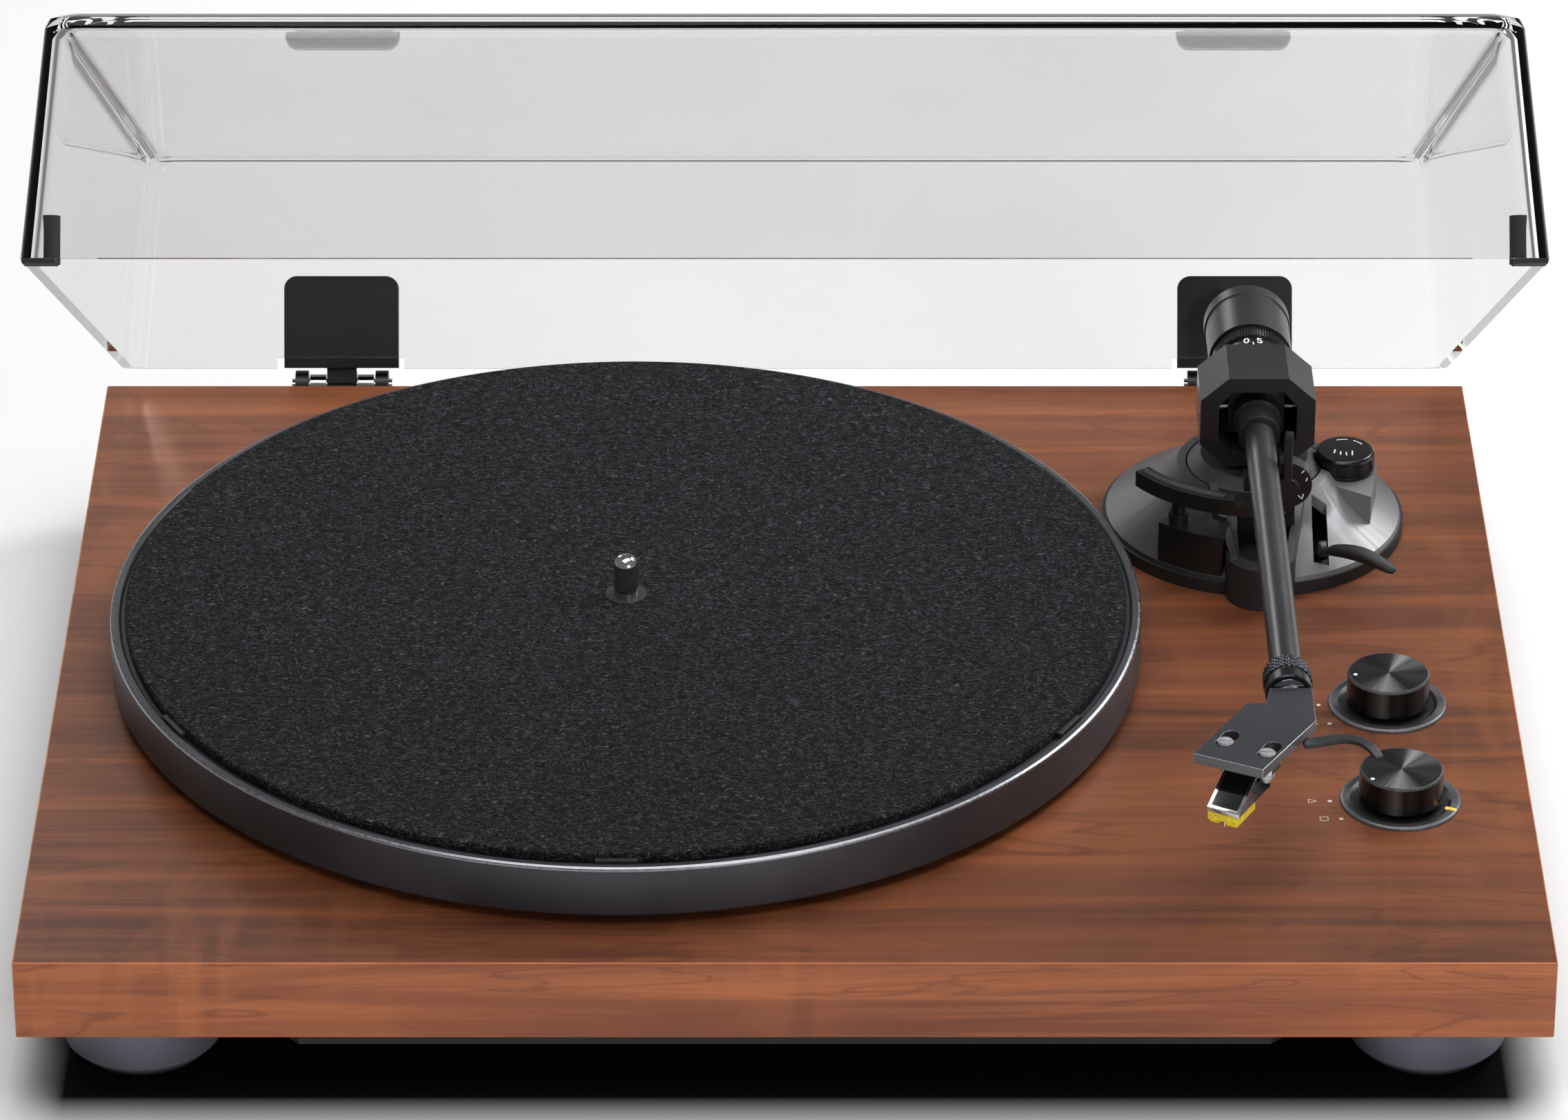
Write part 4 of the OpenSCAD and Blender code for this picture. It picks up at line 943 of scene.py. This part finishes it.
def shell_plate():
    """The headshell with brighter sides, and the polished ring where it meets the collar."""
    bm = bevelled(merged("headshell"), 0.3, 2, 32, 2)
    bm.normal_update()
    for face in bm.faces:
        if face.material_index == 0 and abs(face.normal.z) < 0.5:
            face.material_index = 1
    ring = turned([(3.4, 0), (5.2, 0), (5.4, 0.3), (5.2, 0.6), (3.4, 0.6), (3.4, 0)], 64)
    glint = inked(along_y(ring, -93.6), 3)
    shown_for("headshell", "shell_plate", joined(bm, glint),
              (SHELL_METAL, SHELL_SIDE, SHELL_EDGE, STEEL))


def finger_arm():
    """The curved finger lift."""
    path = [(188.4, -117.9, 18.9), (191.5, -117.4, 19.0), (195.5, -117.2, 19.6),
            (200.4, -118.1, 20.9), (204.2, -120.4, 21.3), (206.8, -123.4, 21.0),
            (208.4, -126.0, 20.0), (208.9, -127.0, 19.6)]
    halves = [(1.7, 0.8), (1.9, 0.85), (1.9, 0.85), (1.8, 0.8), (1.7, 0.75), (1.6, 0.7),
              (1.4, 0.6), (1.2, 0.5)]
    wider = 1.35  # The smoothing draws the bar's corners in.
    bm = loft(path, [(w * wider, h * wider) for w, h in halves], 4, pi / 4)
    softened(shown_for("finger_lift", "finger_arm", bevelled(bm, 0.3, 2, 40), SHELL_METAL, 50))


def screws_and_nuts():
    """The slotted cartridge screws with their nuts."""
    parts = []
    for side in (-1, 1):
        head = [disc(1.25, -9, -1.2), bevelled(disc(2.2, -1.2, 0.15, 40), 0.15)]
        for way in (0, pi):
            half = [(2.0 * cos(radians(a)), 2.0 * sin(radians(a))) for a in range(8, 173, 9)]
            half_head = bevelled(prism(half, 0.1, 0.4), 0.08)
            head.append(moved(half_head, (0, 0, 0), Matrix.Rotation(way + 0.5, 4, "Z")))
        nut = [(2.4 * cos(radians(60 * k + 30)), 2.4 * sin(radians(60 * k + 30))) for k in range(6)]
        head.append(bevelled(prism(nut, -7.6, -5.4), 0.2))
        parts.append(moved(joined(*head), (side * SCREW_SIDE, 0, 0)))
    bm = moved(joined(*parts), SHELL, AROUND_Z)
    shown_for("cartridge_screws", "shell_screws", bm, SCREW_STEEL)


def cartridge_body():
    """The cartridge, with a polished ramp, bright edges and a bright lip."""
    bm = bevelled(merged("cartridge"), 0.15, 1, 32, 1)
    bm.normal_update()
    nose = AROUND_Z.to_3x3() @ Vector((0, -1, 0))
    ramps = [face for face in bm.faces
             if face.normal.dot(nose) > 0.3 and face.normal.z > 0.3 and face.calc_area() > 3e-5]
    inside = bmesh.ops.inset_region(bm, faces=ramps, thickness=0.9 * MM, depth=-0.12 * MM,
                                    use_even_offset=True)
    for face in inside["faces"]:
        face.material_index = 1
    for face in ramps:
        face.material_index = 2
    for face in bm.faces:
        if face.normal.dot(nose) > 0.95:
            face.material_index = 1
    shown_for("cartridge", "cartridge_body", bm, (CARTRIDGE_BODY, CHROME, CARTRIDGE_RAMP))


def stylus_block():
    """The yellow block with its notch, and the stylus in it."""
    outline = [(-4.7, -11.3), (-4.8, -13.4), (-3.9, -14.5), (-1.3, -14.6), (-1.0, -13.7),
               (0.6, -13.7), (0.9, -14.6), (4.2, -14.5), (4.8, -13.6), (4.7, -11.3)]
    bm = bevelled(prism(outline, 3.0, 13.8), 0.35, 2, 20)
    bmesh.ops.transform(bm, matrix=UPRIGHT, verts=bm.verts)
    tip = inked(moved(disc(0.45, -15.4, -13.6, 16), (0, -12.6, 0)), 1)
    bm = moved(joined(bm, tip), SHELL - Vector((0, 0, 3)), AROUND_Z)
    shown_for("stylus", "stylus_block", bm, (YELLOW, STEEL))


def dial_with_numbers():
    """The stylus force dial with its ribs and figures."""
    low, high = box_of("force_dial")
    long = high[1] - low[1]
    body = turned([(4, 0), (10.2, 0), (10.9, 0.3), (11.0, 0.8), (11.0, 5.4), (11.6, 5.6),
                   (11.6, long), (6.6, long), (6.6, 8), (4, 8), (4, 0)], 128)
    grip = ribbed(12.0, 5.7, long - 0.3, 90, 0.4)
    ring = along_y(joined(body, grip), low[1])
    ticks = marks([[(0, -0.5), (0, -0.9)], [(0, -1.3), (0, -1.7)]], 0.4)
    text = wrapped(moved(joined(figures("0.5", 2.9, 0.5, 0.8), ticks), (0, 2.3, 0)), 11.0)
    bm = joined(ring, inked(moved(text, (ARM_X, low[1], ARM_Z)), 1))
    shown_for("force_dial", "force_ring", bm, (DIAL_PAINT, WHITE_INK), 25)


rounded("gimbal_frame", "arm_frame", ARM_PAINT, 0.45)
rounded("gimbal_block", "arm_block", ARM_PAINT, 0.5)
rounded("counterweight", "weight", WEIGHT_PAINT, 0.5, 3)
locking_ring()
shell_plate()
finger_arm()
screws_and_nuts()
cartridge_body()
stylus_block()
dial_with_numbers()

keep(ZINC, "base_screws", "motor", "motor_bracket")
keep(RUBBER, "foot_pads", "drive_belt")
keep(BRASS, "bearing_housing", "motor_pulley")
keep(STEEL, "bearing_ball", "hinge_pins", "pivot_screws", "ground_post")
keep(CIRCUIT, "control_board")
keep(PLASTIC, "dc_inlet", "speed_selector", "start_switch", "sub_platter", "weight_core")
keep(WHITE_INK, "line_switch")
keep(ARM_PAINT, "arm_tube")


# ---- Stage ----

def studio():
    """A white floor with a painted shadow under the player, soft lights and the camera."""
    scene = bpy.context.scene
    low, high = cad_box
    bm = bmesh.new()
    bmesh.ops.create_grid(bm, x_segments=1, y_segments=1, size=6)
    mesh = bpy.data.meshes.new("floor")
    bm.to_mesh(mesh)
    bm.free()
    mesh.transform(Matrix.Translation((0, 0, low[2])))
    floor = bpy.data.objects.new("floor", mesh)
    scene.collection.objects.link(floor)
    white = Finish("floor_white_painted_shadow", (246, 246, 246), 0.9, Specular_IOR_Level=0.1)
    white.gloss(white.widened(white.noise(40), 0.85, 0.95))
    parts = white.node("ShaderNodeSeparateXYZ", {0: white.place})
    # A painted shadow under the player: the floor's colour goes near black there, with a soft edge.
    across = white.maths("ABSOLUTE", white.maths("SUBTRACT", parts.outputs["X"], 0.046))
    along = white.maths("ABSOLUTE", white.maths("ADD", parts.outputs["Y"], 0.02))
    shade = white.maths("MULTIPLY", white.ranged(across, 0.198, 0.214, 1, 0),
                        white.ranged(along, 0.148, 0.168, 1, 0))
    white.paint(white.mixed(shade, colour(250, 250, 250), colour(10, 10, 11)))
    mesh.materials.append(white.material)
    world = bpy.data.worlds.new("studio")
    world.use_nodes = True
    background = world.node_tree.nodes["Background"]
    background.inputs["Color"].default_value = (1, 1, 1, 1)
    background.inputs["Strength"].default_value = 0.22
    scene.world = world
    scene.view_settings.view_transform = "Standard"

    aim = Vector((0.05, 0.0, -0.02))
    for name, place, across, down, power in (
            ("overhead", (0.15, -0.1, 1.9), 2.2, 1.2, 25),
            ("right_back", (1.3, 1.0, 1.15), 0.8, 0.7, 17),
            ("left_back", (-0.8, 1.9, 0.85), 0.5, 0.7, 5),
            ("front_right", (0.9, -1.6, 0.5), 0.8, 0.5, 8)):
        lamp = bpy.data.lights.new(name, "AREA")
        lamp.shape = "RECTANGLE"
        lamp.size = across
        lamp.size_y = down
        lamp.energy = power
        light = bpy.data.objects.new(name, lamp)
        light.location = place
        light.rotation_euler = (aim - Vector(place)).to_track_quat("-Z", "Y").to_euler()
        scene.collection.objects.link(light)

    lens = bpy.data.cameras.new("camera")
    lens.lens = 174.49
    lens.sensor_width = 36
    lens.clip_end = 20
    camera = bpy.data.objects.new("camera", lens)
    camera.location = (0.04575, -1.9166, 1.0825)
    camera.rotation_euler = (radians(60.79), 0, 0)
    scene.collection.objects.link(camera)
    scene.camera = camera


studio()
